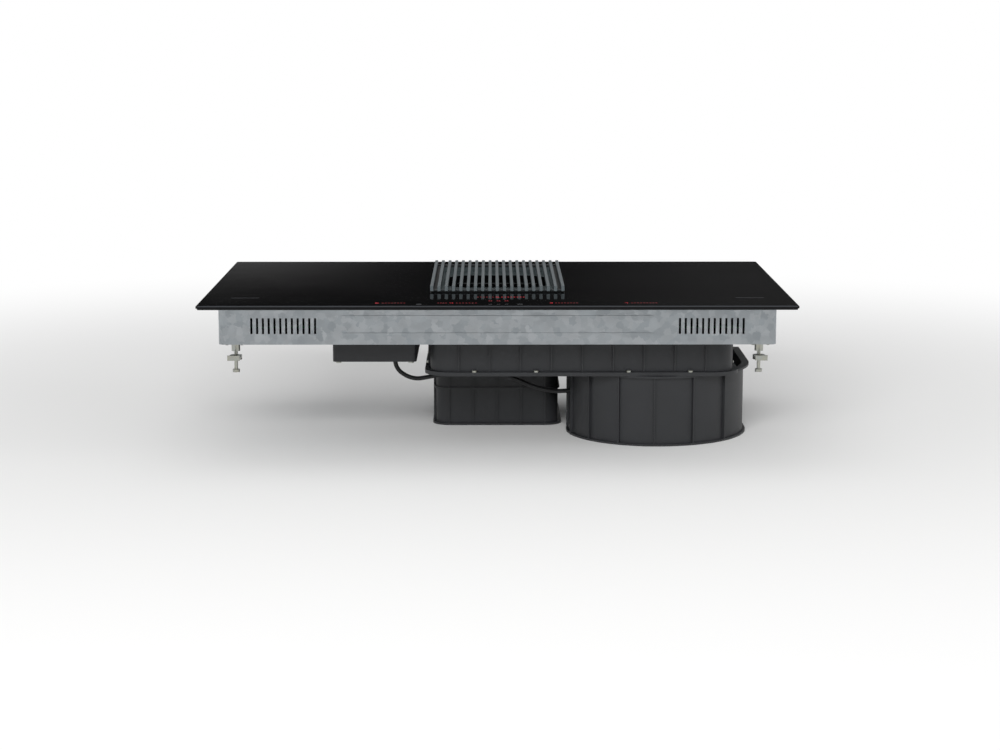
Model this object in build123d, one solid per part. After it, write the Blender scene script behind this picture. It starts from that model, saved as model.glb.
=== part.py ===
"""Downdraft induction cooktop: a black glass hob with a slatted air intake in the middle of the glass
and an extractor fan underneath. Millimetres, +Z up, front edge towards -Y, origin at the bottom centre
of the whole unit.

From top to bottom the unit is a glass with its intake grille and collar, a steel hob pan that holds the
induction coils and their electronics, and a plastic fan unit with the drip chamber, the air box, the
scroll and the outlet.
"""

from build123d import *
from math import acos, cos, degrees, pi, radians, sin, tan
import os

# ------------------------------------------------------------------------- driving sizes
# Glass
glass_width = 830.0
glass_depth = 515.0
glass_thick = 4.0
glass_corner = 6.0
glass_bevel = 1.5
bond_thick = 0.8            # silicone between the glass and the hob pan
bond_width = 7.0
seal_thick = 2.0            # foam seal that lies on the worktop
seal_width = 9.0
seal_inset = 2.0            # seal edge in from the glass edge

# Heights of the stacked layers, from the underside up
scroll_height = 102.0
deck_thick = 2.5            # floor plate of the air box
air_box_height = 54.0
box_gasket_thick = 2.0
pan_height = 51.7

# Intake grille
slat_count = 19
slat_pitch = 10.44
slat_width = 4.5
slat_height = 7.5
slat_length = 312.0
slat_round = 0.7
vent_centre_y = 38.0        # middle of the grille, behind the middle of the glass
end_rail_depth = 9.0
end_rail_height = 1.2
end_rail_inset = 0.6        # end rail back from the slat ends
pad_thick = 0.8             # silicone pads between grille and collar
pad_radius = 2.5

# Intake collar
collar_inner_width = 174.0
collar_inner_depth = 290.0
collar_wall = 1.5
collar_corner = 8.0
collar_lip = 8.0            # lip that lies on the glass, out from the inner wall
collar_lip_thick = 1.3
collar_drop = 8.0           # straight wall below the glass top
funnel_drop = 3.4           # further drop of the sloping floor to the neck
neck_width = 158.0
neck_depth = 150.0
neck_corner = 44.0
neck_length = 19.6
neck_ledge = 4.0
neck_centre_y = 97.0        # the neck lies towards the back of the grille
fit_gap = 0.5               # clearance of parts that slip into each other

# Grease filter
filter_rim_gap = 1.0
filter_rim_thick = 2.0
filter_wall = 1.6
filter_depth = 71.5
filter_taper = 11.0         # each side draws in this much over the depth
filter_window_sill = 2.8    # height of the windows' foot above the basket's underside
filter_window_height = 37.6
filter_window_width = 7.0
filter_windows_per_side = 7
filter_window_pitch = 14.0
filter_side_pitch = 12.6    # pitch of the windows in the left and right sides
mesh_wall = 1.0
mesh_lap = 5.0              # the mesh reaches this far above the windows
handle_width = 12.0
handle_thick = 2.0
handle_rise = 13.0

# Air shaft
shaft_wall = 2.5
shaft_flange = 7.0
shaft_flange_thick = 2.0
shaft_into_box = 3.5        # the shaft ends this far under the air box roof

# Hob pan
pan_side_inset = 29.0       # pan's sides in from the glass edge
pan_end_inset = 18.5        # pan's front and back in from the glass edge
pan_wall = 1.2
pan_corner = 8.0
pan_lip = 9.0
pan_slot_width = 3.0
pan_slot_pitch = 8.0
pan_slot_height = 22.0
pan_front_slots = 12        # in each of two groups
pan_front_slots_x = 296.0   # middle of each group
pan_rear_slots = 36
pan_side_slots = 18
pan_bead_depth = 1.0        # pressed stiffening beads in the front wall
pan_bead_height = 5.0
pan_bead_length = 430.0
pan_bead_spacing = 24.0
board_stand = 9.0           # pressed bosses that carry the power boards

# Induction coils
coil_side_inset = 141.8     # coil middles in from the pan's inside
coil_rear_gap = 6.8         # between the rear coils and the pan's back wall
coil_row_gap = 6.0          # between the front and the rear coils
coil_touch_gap = 7.0        # between the front coils and the touch control
coil_eye_radius = 22.0
coil_thick = 5.0
coil_turns = 12
coil_ridge = 1.0            # each turn stands this much above the next one's groove
carrier_thick = 1.5
carrier_edge = 2.0
ferrite_start = 4.0         # past the eye of the coil
ferrite_end = 10.0          # in from the coil's edge
ferrite_width = 8.0
ferrite_thick = 4.0
ferrites_per_coil = 8
mica_thick = 0.5
sensor_radius = 5.0
sensor_gap = 0.6
cushion_radius = 5.0
rail_width = 25.0
rail_thick = 3.0
rail_edge_inset = 48.0      # rails' middles in from the coil's front and back edges
rail_shaft_gap = 27.5       # between a rail and the air shaft's flange
rail_side_gap = 8.8         # between a rail and the pan's side
cushion_gap = 3.7           # between a cushion and the nearest ferrite bar
rail_drop = 9.0             # rail top below the carrier

# Power electronics
board_width = 150.0
board_depth = 300.0
board_thick = 1.6
board_side_gap = 19.8       # between a board and the pan's side
heatsink_width = 100.0
heatsink_depth = 60.0
heatsink_height = 17.0
heatsink_base = 4.0
heatsink_y = 40.0
fin_count = 13
fin_thick = 1.4
part_gap = 6.0              # between like parts in a row on the board
film_capacitor_count = 3
film_capacitor_width = 26.0
film_capacitor_depth = 16.0
film_capacitor_height = 15.0
film_capacitor_y = -120.0
choke_count = 2
choke_radius = 15.0
choke_bore = 6.0
choke_height = 10.0
choke_y = -80.0
electrolytic_count = 4
electrolytic_radius = 6.5
electrolytic_height = 14.0
electrolytic_y = -44.0
transistor_count = 4
transistor_width = 16.0
transistor_thick = 5.0
transistor_height = 16.0
transistor_y = 86.0
relay_width = 60.0
relay_depth = 22.0
relay_height = 13.0
relay_y = 118.0
board_boss_radius = 3.5
board_boss_inset = 8.0      # bosses in from the board's edges
board_fan_size = 70.0
board_fan_height = 15.0
board_fan_x = 150.0
board_fan_gap = 10.8        # between a fan and the pan's front wall
board_fan_blades = 7
board_fan_blade = 1.2       # blade thickness
board_fan_chord = 12.0
board_fan_pitch = 32.0      # blade angle in degrees
board_fan_clear = 1.0       # under and over the rotor
board_fan_pin = 2.0
board_fan_wall = 1.5
board_fan_corner = 4.0
board_fan_hub = 13.0
board_fan_tip_gap = 1.5
board_fan_arm = 4.0
board_fan_plate = 2.0
fan_slots = 7
fan_slot_width = 4.0
fan_slot_corner = 1.8
fan_slot_inset = 3.0

# Touch control
touch_width = 446.0
touch_depth = 52.0
touch_inset = 49.5          # touch control's middle behind the glass's front edge
touch_tab_width = 120.0
touch_tab_depth = 30.0
touch_board_thick = 1.6
touch_holder_height = 8.0
touch_holder_wall = 2.0
touch_corner = 3.0
touch_tab_overlap = 8.0     # the tab runs this far into the strip
touch_foot_width = 26.0
touch_foot_depth = 20.0
touch_foot_x = 60.0
light_guide_height = 5.6
zone_slider_x = (-150.0, -56.0, 90.0, 196.0)
zone_slider_inset = 31.5
fan_slider_inset = 90.5
zone_slider_length = 56.0
fan_slider_length = 70.0
zone_slider_width = 7.0
fan_slider_width = 6.0
slider_corner = 1.5

# Fan scroll
fan_x = 222.0
fan_y = -25.0
scroll_wall = 3.0
scroll_floor = 3.0
scroll_start_radius = 93.0  # first of the four arcs, at the tongue
scroll_step = 13.3          # each quarter turn is this much wider than the one before
tongue_angle = 65.0
outlet_channel_y = 112.0    # the scroll's channel ends here
motor_opening_radius = 30.0
scroll_ribs = 10
scroll_rib_start = 100.0
scroll_rib_step = 24.0
rim_width = 8.0
rim_thick = 3.0

# Impeller and motor
impeller_radius = 88.0
blade_depth = 16.0
blade_count = 36
blade_thick = 1.3
impeller_floor_z = 12.0
impeller_height = 75.0
impeller_plate = 2.0
impeller_ring = 8.0         # width of the top ring
blade_lean = 5.0            # tip ahead of the root
blade_bow = 4.5
blade_rim_gap = 0.8
blade_tip_cut = 0.4
hub_radius = 47.0
hub_height = 48.0
hub_wall = 2.5
rotor_radius = 44.3
rotor_wall = 2.4
rotor_lift = 8.0            # rotor's open end above the impeller's floor plate
rotor_top_gap = 0.1
shaft_radius = 4.0
shaft_stub = 3.0            # the shaft stands out above the hub
shaft_end_gap = 2.0         # and ends this far above the scroll's floor
tube_wall = 2.0
tube_top_gap = 3.0
bearing_gap = 0.05
bearing_radius = 8.0
bearing_height = 6.0
bearing_inset = 1.0
stator_radius = 41.0
stator_height = 26.0
stator_teeth = 12
stator_lift = 4.0
stator_slot_radius = 25.0
stator_slot_length = 16.0
stator_slot_width = 5.0
motor_flange_radius = 42.0
motor_flange_thick = 4.0
eye_radius = 72.0
bell_flange_radius = 90.0
bell_thick = 2.0
bell_depth = 17.0
bell_round = 5.0            # the bell's mouth is this much wider than the eye
bell_turn = 6.0             # height over which it narrows

# Air box and drip chamber
air_box_width = 434.0
air_box_depth = 340.0
air_box_centre_x = 121.0
air_box_centre_y = 20.0
air_box_corner = 30.0
air_box_wall = 2.5
air_box_round = 5.0         # round edge of the air box roof
box_ribs = 9                # ribs on the front and back walls of the air box
box_side_ribs = 6
box_rib_pitch = 44.0
box_rib_drop = 8.0          # ribs end this far below the roof
rib_thick = 2.0
rib_out = 4.0
rib_root = 0.5              # ribs run this far into the wall
gasket_border = 18.0
chamber_width = 178.0
chamber_depth = 170.0
chamber_corner = 18.0
chamber_wall = 2.5
chamber_foot = 5.0
chamber_belt = 2.5
chamber_ribs = 5            # ribs on the front and back walls of the chamber
chamber_rib_pitch = 36.0
chamber_side_ribs = 4
chamber_side_rib_pitch = 38.0

# Drip tray
tray_gap = 1.0
tray_height = 52.0
tray_wall = 2.0
tray_lift = 2.0             # the tray's underside above the unit's underside
tray_grip_width = 66.0
tray_grip_depth = 46.0
tray_grip_height = 16.0
tray_grip_bar = 6.0
tray_grip_corner = 3.0

# Outlet and damper
outlet_width = 222.0
outlet_height = 89.0
outlet_wall = 2.5
outlet_corner = 6.0
outlet_centre_x = 255.0
outlet_overhang = 1.0       # spigot's end past the pan's back wall
spigot_length = 48.0
outlet_bead = 2.0           # stop bead round the spigot
outlet_bead_length = 3.0
flap_thick = 1.6
flap_side_gap = 1.0
flap_pivot_radius = 2.0
flap_pivot_gap = 0.05
flap_pivot_offset = 4.0     # each flap's axis above or below the middle
flap_bead_gap = 4.0         # flaps' axes past the bead
flap_barrel_wall = 0.8

# Terminal box, mains inlet and fan control box
terminal_width = 110.0
terminal_depth = 72.0
terminal_height = 48.0
terminal_side_gap = 41.0    # between the box and the pan's side, where the clamp is
terminal_rear_gap = 7.0     # between the box and the pan's back wall
terminal_wall = 2.2
lid_thick = 2.5
terminal_corner = 4.0
lid_pin_radius = 1.5
lid_barrel_wall = 0.9
lid_axis_drop = 4.0         # hinge axis below the pan
lid_ear_width = 4.0
lid_ear_reach = 3.0         # ears past the axis
lid_gap = 1.0
lid_back_gap = 0.1          # between the lid's barrel and the box
block_ways = 5
block_pitch = 10.0
block_depth = 20.0
block_height = 16.0
block_hole = 2.6
block_offset = -4.0         # terminal block in front of the box's middle
block_shift = 20.0          # and to the right of it
gland_bore = 7.0
gland_outer = 12.5          # corners of its hexagons
gland_length = 22.0
gland_z_up = 18.0           # inlet axis above the terminal box floor
gland_setback = 18.0        # inlet axis in front of the box's middle
gland_wall = 2.0
gland_nut = 4.0
gland_collar = 6.0
gland_inside = 8.0
control_width = 120.0
control_depth = 170.0
control_height = 42.0
control_x = -176.0
control_y = -45.0
control_wall = 2.2
control_corner = 6.0
control_step = 2.0          # the lid's step that fits inside the box
control_screw_inset = 8.0

# Worktop clamps
clamp_side_inset = 20.0     # clamp screws in from the pan's sides
clamp_end_inset = 36.0      # clamp screws in from the pan's front and back
clamp_plate_width = 30.0
clamp_plate_depth = 46.0
clamp_plate_thick = 2.0
clamp_plate_corner = 4.0
clamp_boss_radius = 6.0
clamp_boss_height = 12.0
clamp_screw_radius = 2.5
clamp_screw_gap = 0.06
clamp_screw_length = 44.0
clamp_head_radius = 5.0
clamp_head_height = 4.0
clamp_slot_length = 6.4
clamp_slot_width = 1.2
clamp_slot_depth = 1.6
clamp_arm_drop = 20.0       # arm's top below the pan
clamp_arm_width = 17.0
clamp_arm_length = 42.0
clamp_arm_thick = 3.0
clamp_toe_height = 7.0
clamp_hub_drop = 3.0

# Fan cable
cable_radius = 3.2
cable_exit_z = 62.0
cable_offset = 20.0         # cable in front of the fan's axis
cable_end_offset = 26.0     # cable's end to the right of the control box's middle
cable_inside = 2.5
cable_hole_length = 14.0
cable_bend_share = 0.45

# Fasteners
screw_head_radius = 4.0
screw_head_height = 2.4
screw_slot_width = 1.0
screw_slot_length = 4.4
screw_slot_depth = 1.2

# -------------------------------------------------------------------- worked-out heights
deck_under_z = scroll_height
deck_top_z = deck_under_z + deck_thick
air_box_top_z = deck_top_z + air_box_height
pan_bottom_z = air_box_top_z + box_gasket_thick
pan_floor_z = pan_bottom_z + pan_wall
pan_top_z = pan_bottom_z + pan_height
glass_under_z = pan_top_z + bond_thick
glass_top_z = glass_under_z + glass_thick
collar_lip_z = glass_top_z + collar_lip_thick
grille_under_z = collar_lip_z + pad_thick
funnel_top_z = glass_top_z - collar_drop
neck_top_z = funnel_top_z - funnel_drop
neck_bottom_z = neck_top_z - neck_length
ledge_top_z = neck_bottom_z + collar_wall
filter_rim_z = ledge_top_z + filter_rim_thick
shaft_top_z = neck_top_z - 2 * collar_wall
shaft_bottom_z = air_box_top_z - shaft_into_box
board_under_z = pan_floor_z + board_stand
board_top_z = board_under_z + board_thick
mica_top_z = glass_under_z - fit_gap
mica_under_z = mica_top_z - mica_thick
carrier_top_z = mica_under_z - coil_thick
carrier_under_z = carrier_top_z - carrier_thick
rail_top_z = carrier_under_z - rail_drop
scroll_centre_z = scroll_height / 2
terminal_under_z = pan_bottom_z - terminal_height
control_under_z = pan_bottom_z - control_height

channel_left_x = fan_x - scroll_step / 2 + scroll_start_radius * cos(radians(tongue_angle))
channel_right_x = fan_x + scroll_start_radius + 3.5 * scroll_step

pan_width = glass_width - 2 * pan_side_inset
pan_depth = glass_depth - 2 * pan_end_inset
pan_inner_width = pan_width - 2 * pan_wall
pan_inner_depth = pan_depth - 2 * pan_wall
coil_front_space = -glass_depth / 2 + touch_inset + touch_depth / 2 + coil_touch_gap
coil_zone_depth = pan_inner_depth / 2 - coil_rear_gap - coil_front_space
carrier_radius = (coil_zone_depth - coil_row_gap) / 4
coil_radius = carrier_radius - carrier_edge
coil_centre_x = pan_inner_width / 2 - coil_side_inset
coil_front_y = coil_front_space + carrier_radius
coil_rear_y = pan_inner_depth / 2 - coil_rear_gap - carrier_radius
rail_offset = coil_radius - rail_edge_inset
board_centre_x = pan_inner_width / 2 - board_side_gap - board_width / 2
board_fan_y = -pan_inner_depth / 2 + board_fan_gap + board_fan_size / 2
touch_centre_y = -glass_depth / 2 + touch_inset
zone_slider_y = -glass_depth / 2 + zone_slider_inset
fan_slider_y = -glass_depth / 2 + fan_slider_inset
outlet_end_y = pan_depth / 2 + outlet_overhang
outlet_start_y = outlet_end_y - spigot_length
flap_y = outlet_start_y + outlet_bead_length + flap_bead_gap
terminal_x = -(pan_width / 2 - terminal_side_gap - terminal_width / 2)
terminal_y = pan_depth / 2 - terminal_rear_gap - terminal_depth / 2
clamp_x = pan_width / 2 - clamp_side_inset
clamp_y = pan_depth / 2 - clamp_end_inset

cutout_width = collar_inner_width + 2 * (collar_wall + fit_gap)
cutout_depth = collar_inner_depth + 2 * (collar_wall + fit_gap)
cutout_corner = collar_corner + collar_wall + fit_gap
neck_outer_width = neck_width + 2 * collar_wall
neck_outer_depth = neck_depth + 2 * collar_wall
shaft_inner_width = neck_outer_width + 2 * fit_gap
shaft_inner_depth = neck_outer_depth + 2 * fit_gap
shaft_inner_corner = neck_corner + collar_wall + fit_gap
shaft_outer_width = shaft_inner_width + 2 * shaft_wall
shaft_outer_depth = shaft_inner_depth + 2 * shaft_wall
shaft_outer_corner = shaft_inner_corner + shaft_wall
rail_inner_x = shaft_outer_width / 2 + shaft_flange + rail_shaft_gap
rail_outer_x = pan_inner_width / 2 - rail_side_gap


# ------------------------------------------------------------------------- shape helpers
def slab(width, depth, height, corner, x=0.0, y=0.0, z=0.0):
    """A plate or block with round vertical corners, centred on x and y, with its underside at z."""
    return Pos(x, y, z) * extrude(RectangleRounded(width, depth, corner), height)


def brick(x0, x1, y0, y1, z0, z1):
    """A square-cornered block between two corners."""
    return Pos((x0 + x1) / 2, (y0 + y1) / 2, (z0 + z1) / 2) * Box(abs(x1 - x0), abs(y1 - y0), abs(z1 - z0))


def ring_slab(width, depth, height, corner, border, x=0.0, y=0.0, z=0.0):
    """A flat frame: a slab with a border of the given width."""
    inside = slab(width - 2 * border, depth - 2 * border, height, max(corner - border, 0.5), x, y, z)
    return slab(width, depth, height, corner, x, y, z) - inside


def rod(radius, height, x=0.0, y=0.0, z=0.0):
    """A vertical round bar standing on z."""
    return Pos(x, y, z + height / 2) * Cylinder(radius, height)


def pipe(radius, bore, height, x=0.0, y=0.0, z=0.0):
    """A vertical tube standing on z."""
    return rod(radius, height, x, y, z) - rod(bore, height, x, y, z)


def rod_x(radius, x0, x1, y, z):
    """A round bar along X."""
    return Pos((x0 + x1) / 2, y, z) * Rot(0, 90, 0) * Cylinder(radius, abs(x1 - x0))


def funnel(width0, depth0, corner0, y0, z0, width1, depth1, corner1, y1, z1):
    """A solid that runs from one rounded rectangle to another at a different height."""
    low = Pos(0, y0, z0) * RectangleRounded(width0, depth0, corner0)
    high = Pos(0, y1, z1) * RectangleRounded(width1, depth1, corner1)
    return loft([low, high], ruled=True)


def group(solids):
    """Several separate solids as one shape."""
    return Compound(children=list(solids))


def cut_all(body, tools):
    """Cuts a list of solids out of a body in one step."""
    return body.cut(*tools)


def row_of(centre, count, pitch):
    """Places of a row of like features, centred and evenly spaced."""
    return [centre + (index - (count - 1) / 2) * pitch for index in range(count)]


def rib(x, y, turn, low_z, high_z):
    """An upright stiffening rib on a wall at x, y, that stands out in the direction turned from +X."""
    bar = Pos((rib_out - rib_root) / 2, 0, 0) * Box(rib_out + rib_root, rib_thick, high_z - low_z)
    return Pos(x, y, (low_z + high_z) / 2) * Rot(0, 0, turn) * bar


def screw_slot(x, y, z):
    """Cutter for the slot of a pan-head screw."""
    return Pos(x, y, z + screw_slot_depth / 2) * Box(screw_slot_length, screw_slot_width, screw_slot_depth)


# ----------------------------------------------------------------------- glass and seals
def glass_top():
    """Ceramic glass, ground bevel round its top edge, with the cut-out for the intake collar."""
    plate = slab(glass_width, glass_depth, glass_thick, glass_corner, z=glass_under_z)
    plate = chamfer(plate.edges().group_by(Axis.Z)[-1], glass_bevel)
    hole = slab(cutout_width, cutout_depth, glass_thick, cutout_corner, y=vent_centre_y, z=glass_under_z)
    return plate - hole


def worktop_seal():
    """Foam strip stuck under the glass edge; the unit hangs in the worktop on it."""
    return ring_slab(glass_width - 2 * seal_inset, glass_depth - 2 * seal_inset, seal_thick,
                     glass_corner - seal_inset, seal_width, z=glass_under_z - seal_thick)


def glass_bond():
    """Silicone bead that glues the pan's lip to the glass."""
    return ring_slab(pan_width, pan_depth, bond_thick, pan_corner, bond_width, z=pan_top_z)


# ------------------------------------------------------------------------- intake grille
def slat_x(index):
    """Middle of a slat, counted from the left."""
    return (index - (slat_count - 1) / 2) * slat_pitch


def vent_grille():
    """Cast grille: slats from front to back, held by scalloped end rails at their feet."""
    top_z = grille_under_z + slat_height
    y0 = vent_centre_y - slat_length / 2
    y1 = vent_centre_y + slat_length / 2
    section = RectangleRounded(slat_width, slat_height, slat_round)
    bars = []
    for index in range(slat_count):
        back_end = (slat_x(index), y1, (grille_under_z + top_z) / 2)
        start = Plane(origin=back_end, x_dir=(1, 0, 0), z_dir=(0, -1, 0))
        bars.append(extrude(start * section, slat_length))
    half_span = slat_x(slat_count - 1)
    scallop = (slat_pitch - slat_width) / 2
    for edge, side in ((y0, 1), (y1, -1)):
        near = edge + side * end_rail_inset
        rail = brick(-half_span, half_span, near, near + side * end_rail_depth,
                     grille_under_z, grille_under_z + end_rail_height)
        bites = [rod(scallop, end_rail_height, (slat_x(i) + slat_x(i + 1)) / 2, near, grille_under_z)
                 for i in range(slat_count - 1)]
        bars.append(cut_all(rail, bites))
    return bars[0].fuse(*bars[1:]).clean()


def grille_pads():
    """Four silicone pads between the grille's end rails and the collar's lip."""
    x = slat_x(slat_count - 3)
    y = slat_length / 2 - end_rail_inset - end_rail_depth + pad_radius + fit_gap
    return group(rod(pad_radius, pad_thick, sx * x, vent_centre_y + sy * y, collar_lip_z)
                 for sx in (-1, 1) for sy in (-1, 1))


# ------------------------------------------------------------------------- intake collar
def vent_collar():
    """Pressed collar: a lip on the glass, a straight wall, a floor that slopes to the round-cornered neck."""
    outer_width = collar_inner_width + 2 * collar_wall
    outer_depth = collar_inner_depth + 2 * collar_wall
    outer_corner = collar_corner + collar_wall
    y = vent_centre_y
    lip = slab(collar_inner_width + 2 * collar_lip, collar_inner_depth + 2 * collar_lip, collar_lip_thick,
               collar_corner + collar_lip, y=y, z=glass_top_z)
    wall = slab(outer_width, outer_depth, collar_lip_z - funnel_top_z + collar_wall, outer_corner, y=y,
                z=funnel_top_z - collar_wall)
    low_end = (neck_outer_width, neck_outer_depth, neck_corner + collar_wall, neck_centre_y)
    high_end = (outer_width, outer_depth, outer_corner, y)
    floor = funnel(*low_end, neck_top_z - collar_wall, *high_end, funnel_top_z - collar_wall)
    neck = slab(neck_outer_width, neck_outer_depth, neck_length - collar_wall, neck_corner + collar_wall,
                y=neck_centre_y, z=neck_bottom_z)
    body = lip.fuse(wall, floor, neck)
    well = slab(collar_inner_width, collar_inner_depth, collar_lip_z - funnel_top_z, collar_corner, y=y,
                z=funnel_top_z)
    slope = funnel(neck_width, neck_depth, neck_corner, neck_centre_y, neck_top_z,
                   collar_inner_width, collar_inner_depth, collar_corner, y, funnel_top_z)
    bore = slab(neck_width, neck_depth, neck_length - collar_wall, neck_corner, y=neck_centre_y,
                z=ledge_top_z)
    mouth = slab(neck_width - 2 * neck_ledge, neck_depth - 2 * neck_ledge, collar_wall,
                 neck_corner - neck_ledge, y=neck_centre_y, z=neck_bottom_z)
    return body.cut(well, slope, bore, mouth).clean()


# ------------------------------------------------------------------------- grease filter
filter_top_width = neck_width - 2 * neck_ledge - 2 * filter_rim_gap
filter_top_depth = neck_depth - 2 * neck_ledge - 2 * filter_rim_gap
filter_top_corner = neck_corner - neck_ledge - filter_rim_gap
filter_bottom_width = filter_top_width - 2 * filter_taper
filter_bottom_depth = filter_top_depth - 2 * filter_taper
filter_bottom_corner = filter_top_corner - filter_taper
filter_bottom_z = filter_rim_z - filter_depth
window_low_z = filter_bottom_z + filter_window_sill
window_high_z = window_low_z + filter_window_height


def filter_shape(inset, low_z, high_z):
    """The basket's tapering outline, drawn in by an inset, between two heights."""
    def at(z):
        share = (z - filter_bottom_z) / filter_depth
        return (filter_bottom_width + 2 * filter_taper * share - 2 * inset,
                filter_bottom_depth + 2 * filter_taper * share - 2 * inset,
                filter_bottom_corner + filter_taper * share - inset)
    low = at(low_z)
    high = at(high_z)
    return funnel(*low, neck_centre_y, low_z, *high, neck_centre_y, high_z)


def filter_basket():
    """Grease filter basket: a rim on the neck's ledge and a tapering steel bowl with windows for the air."""
    rim = slab(neck_width - 2 * filter_rim_gap, neck_depth - 2 * filter_rim_gap, filter_rim_thick,
               neck_corner - filter_rim_gap, y=neck_centre_y, z=ledge_top_z)
    body = rim.fuse(filter_shape(0, filter_bottom_z, filter_rim_z))
    body = body.cut(filter_shape(filter_wall, filter_bottom_z + filter_wall, filter_rim_z))
    half = filter_window_width / 2
    cutters = []
    for x in row_of(0, filter_windows_per_side, filter_window_pitch):
        cutters.append(brick(x - half, x + half, neck_centre_y - filter_top_depth,
                             neck_centre_y + filter_top_depth, window_low_z, window_high_z))
    for y in row_of(neck_centre_y, filter_windows_per_side, filter_side_pitch):
        cutters.append(brick(-filter_top_width, filter_top_width, y - half, y + half,
                             window_low_z, window_high_z))
    return cut_all(body, cutters).clean()


def filter_mesh():
    """Fine aluminium mesh sleeve that lines the basket behind its windows."""
    low_z = filter_bottom_z + filter_wall + fit_gap
    high_z = window_high_z + mesh_lap
    inset = filter_wall + fit_gap / 2
    return filter_shape(inset, low_z, high_z).cut(filter_shape(inset + mesh_wall, low_z, high_z))


def filter_handle():
    """Arched strap across the basket, welded to its rim, to lift it out."""
    half = filter_top_width / 2
    y = neck_centre_y
    foot_z = filter_rim_z
    outline = Polyline((-half, foot_z), (-half + handle_rise, foot_z + handle_rise),
                       (half - handle_rise, foot_z + handle_rise), (half, foot_z),
                       (half - 2 * handle_thick, foot_z),
                       (half - handle_rise - handle_thick, foot_z + handle_rise - handle_thick),
                       (-half + handle_rise + handle_thick, foot_z + handle_rise - handle_thick),
                       (-half + 2 * handle_thick, foot_z), close=True)
    face = Plane(origin=(0, y + handle_width / 2, 0), x_dir=(1, 0, 0), z_dir=(0, -1, 0)) * make_face(outline)
    return extrude(face, handle_width)


def air_shaft():
    """Duct from the collar's neck down through the hob pan into the air box."""
    tube = slab(shaft_outer_width, shaft_outer_depth, shaft_top_z - shaft_bottom_z, shaft_outer_corner,
                y=neck_centre_y, z=shaft_bottom_z)
    flange = slab(shaft_outer_width + 2 * shaft_flange, shaft_outer_depth + 2 * shaft_flange,
                  shaft_flange_thick, shaft_outer_corner + shaft_flange, y=neck_centre_y, z=pan_floor_z)
    inside = slab(shaft_inner_width, shaft_inner_depth, shaft_top_z - shaft_bottom_z, shaft_inner_corner,
                  y=neck_centre_y, z=shaft_bottom_z)
    return tube.fuse(flange).cut(inside).clean()


# ------------------------------------------------------------------------------- hob pan
def pan_slots():
    """Ventilation slots: two groups in the front wall, one in each side wall, a long one in the back wall."""
    low_z = pan_bottom_z + (pan_height - pan_slot_height) / 2
    high_z = low_z + pan_slot_height
    half = pan_slot_width / 2
    front = (-pan_depth / 2 - pan_wall, -pan_inner_depth / 2 + pan_wall)
    back = (pan_inner_depth / 2 - pan_wall, pan_depth / 2 + pan_wall)
    cutters = []
    for side in (-1, 1):
        for x in row_of(side * pan_front_slots_x, pan_front_slots, pan_slot_pitch):
            cutters.append(brick(x - half, x + half, *front, low_z, high_z))
        for y in row_of(0, pan_side_slots, pan_slot_pitch):
            cutters.append(brick(side * (pan_inner_width / 2 - pan_wall), side * (pan_width / 2 + pan_wall),
                                 y - half, y + half, low_z, high_z))
    for x in row_of(0, pan_rear_slots, pan_slot_pitch):
        cutters.append(brick(x - half, x + half, *back, low_z, high_z))
    return cutters


def fan_intake_slots():
    """Rows of slots in the pan floor under each board fan, as long as the fan's circle is there."""
    cutters = []
    reach = board_fan_size / 2 - board_fan_wall - fan_slot_inset
    for side in (-1, 1):
        for offset in row_of(0, fan_slots, pan_slot_pitch):
            length = 2 * (reach ** 2 - offset ** 2) ** 0.5
            cutters.append(slab(fan_slot_width, length, pan_wall, fan_slot_corner,
                                side * board_fan_x + offset, board_fan_y, pan_bottom_z))
    return cutters


def hob_pan():
    """Folded steel pan under the glass, with slots for cooling air, the shaft opening and board bosses."""
    body = slab(pan_width, pan_depth, pan_height, pan_corner, z=pan_bottom_z)
    inside = slab(pan_inner_width, pan_inner_depth, pan_height - 2 * pan_wall, pan_corner - pan_wall,
                  z=pan_floor_z)
    mouth = slab(pan_width - 2 * pan_lip, pan_depth - 2 * pan_lip, pan_wall, pan_corner - pan_wall,
                 z=pan_top_z - pan_wall)
    shaft_hole = slab(shaft_outer_width + 2 * fit_gap, shaft_outer_depth + 2 * fit_gap, pan_wall,
                      shaft_outer_corner + fit_gap, y=neck_centre_y, z=pan_bottom_z)
    body = body.cut(inside, mouth, shaft_hole, *pan_slots(), *fan_intake_slots())
    extras = []
    for side in (-1, 1):
        for sy in (-1, 1):
            for inner in (-1, 1):
                x = side * board_centre_x + inner * (board_width / 2 - board_boss_inset)
                y = sy * (board_depth / 2 - board_boss_inset)
                extras.append(rod(board_boss_radius, board_stand, x, y, pan_floor_z))
    for level in (-1, 1):
        z = pan_bottom_z + pan_height / 2 + level * pan_bead_spacing / 2
        extras.append(brick(-pan_bead_length / 2, pan_bead_length / 2, -pan_depth / 2 - pan_bead_depth,
                            -pan_inner_depth / 2, z - pan_bead_height / 2, z + pan_bead_height / 2))
    return body.fuse(*extras).clean()


# ----------------------------------------------------------------------- induction coils
def coil_centres():
    """Middle of each coil: front left, front right, rear left, rear right."""
    return [(-coil_centre_x, coil_front_y), (coil_centre_x, coil_front_y),
            (-coil_centre_x, coil_rear_y), (coil_centre_x, coil_rear_y)]


def coil(x, y):
    """Flat copper litz winding: a ring with a ridge for each turn."""
    pitch = (coil_radius - coil_eye_radius) / coil_turns
    low = coil_thick - coil_ridge
    ring = pipe(coil_radius, coil_eye_radius, low, x, y, carrier_top_z)
    ridges = [pipe(coil_radius - (i + 0.15) * pitch, coil_radius - (i + 0.85) * pitch, coil_ridge, x, y,
                   carrier_top_z + low) for i in range(coil_turns)]
    return ring.fuse(*ridges)


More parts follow.
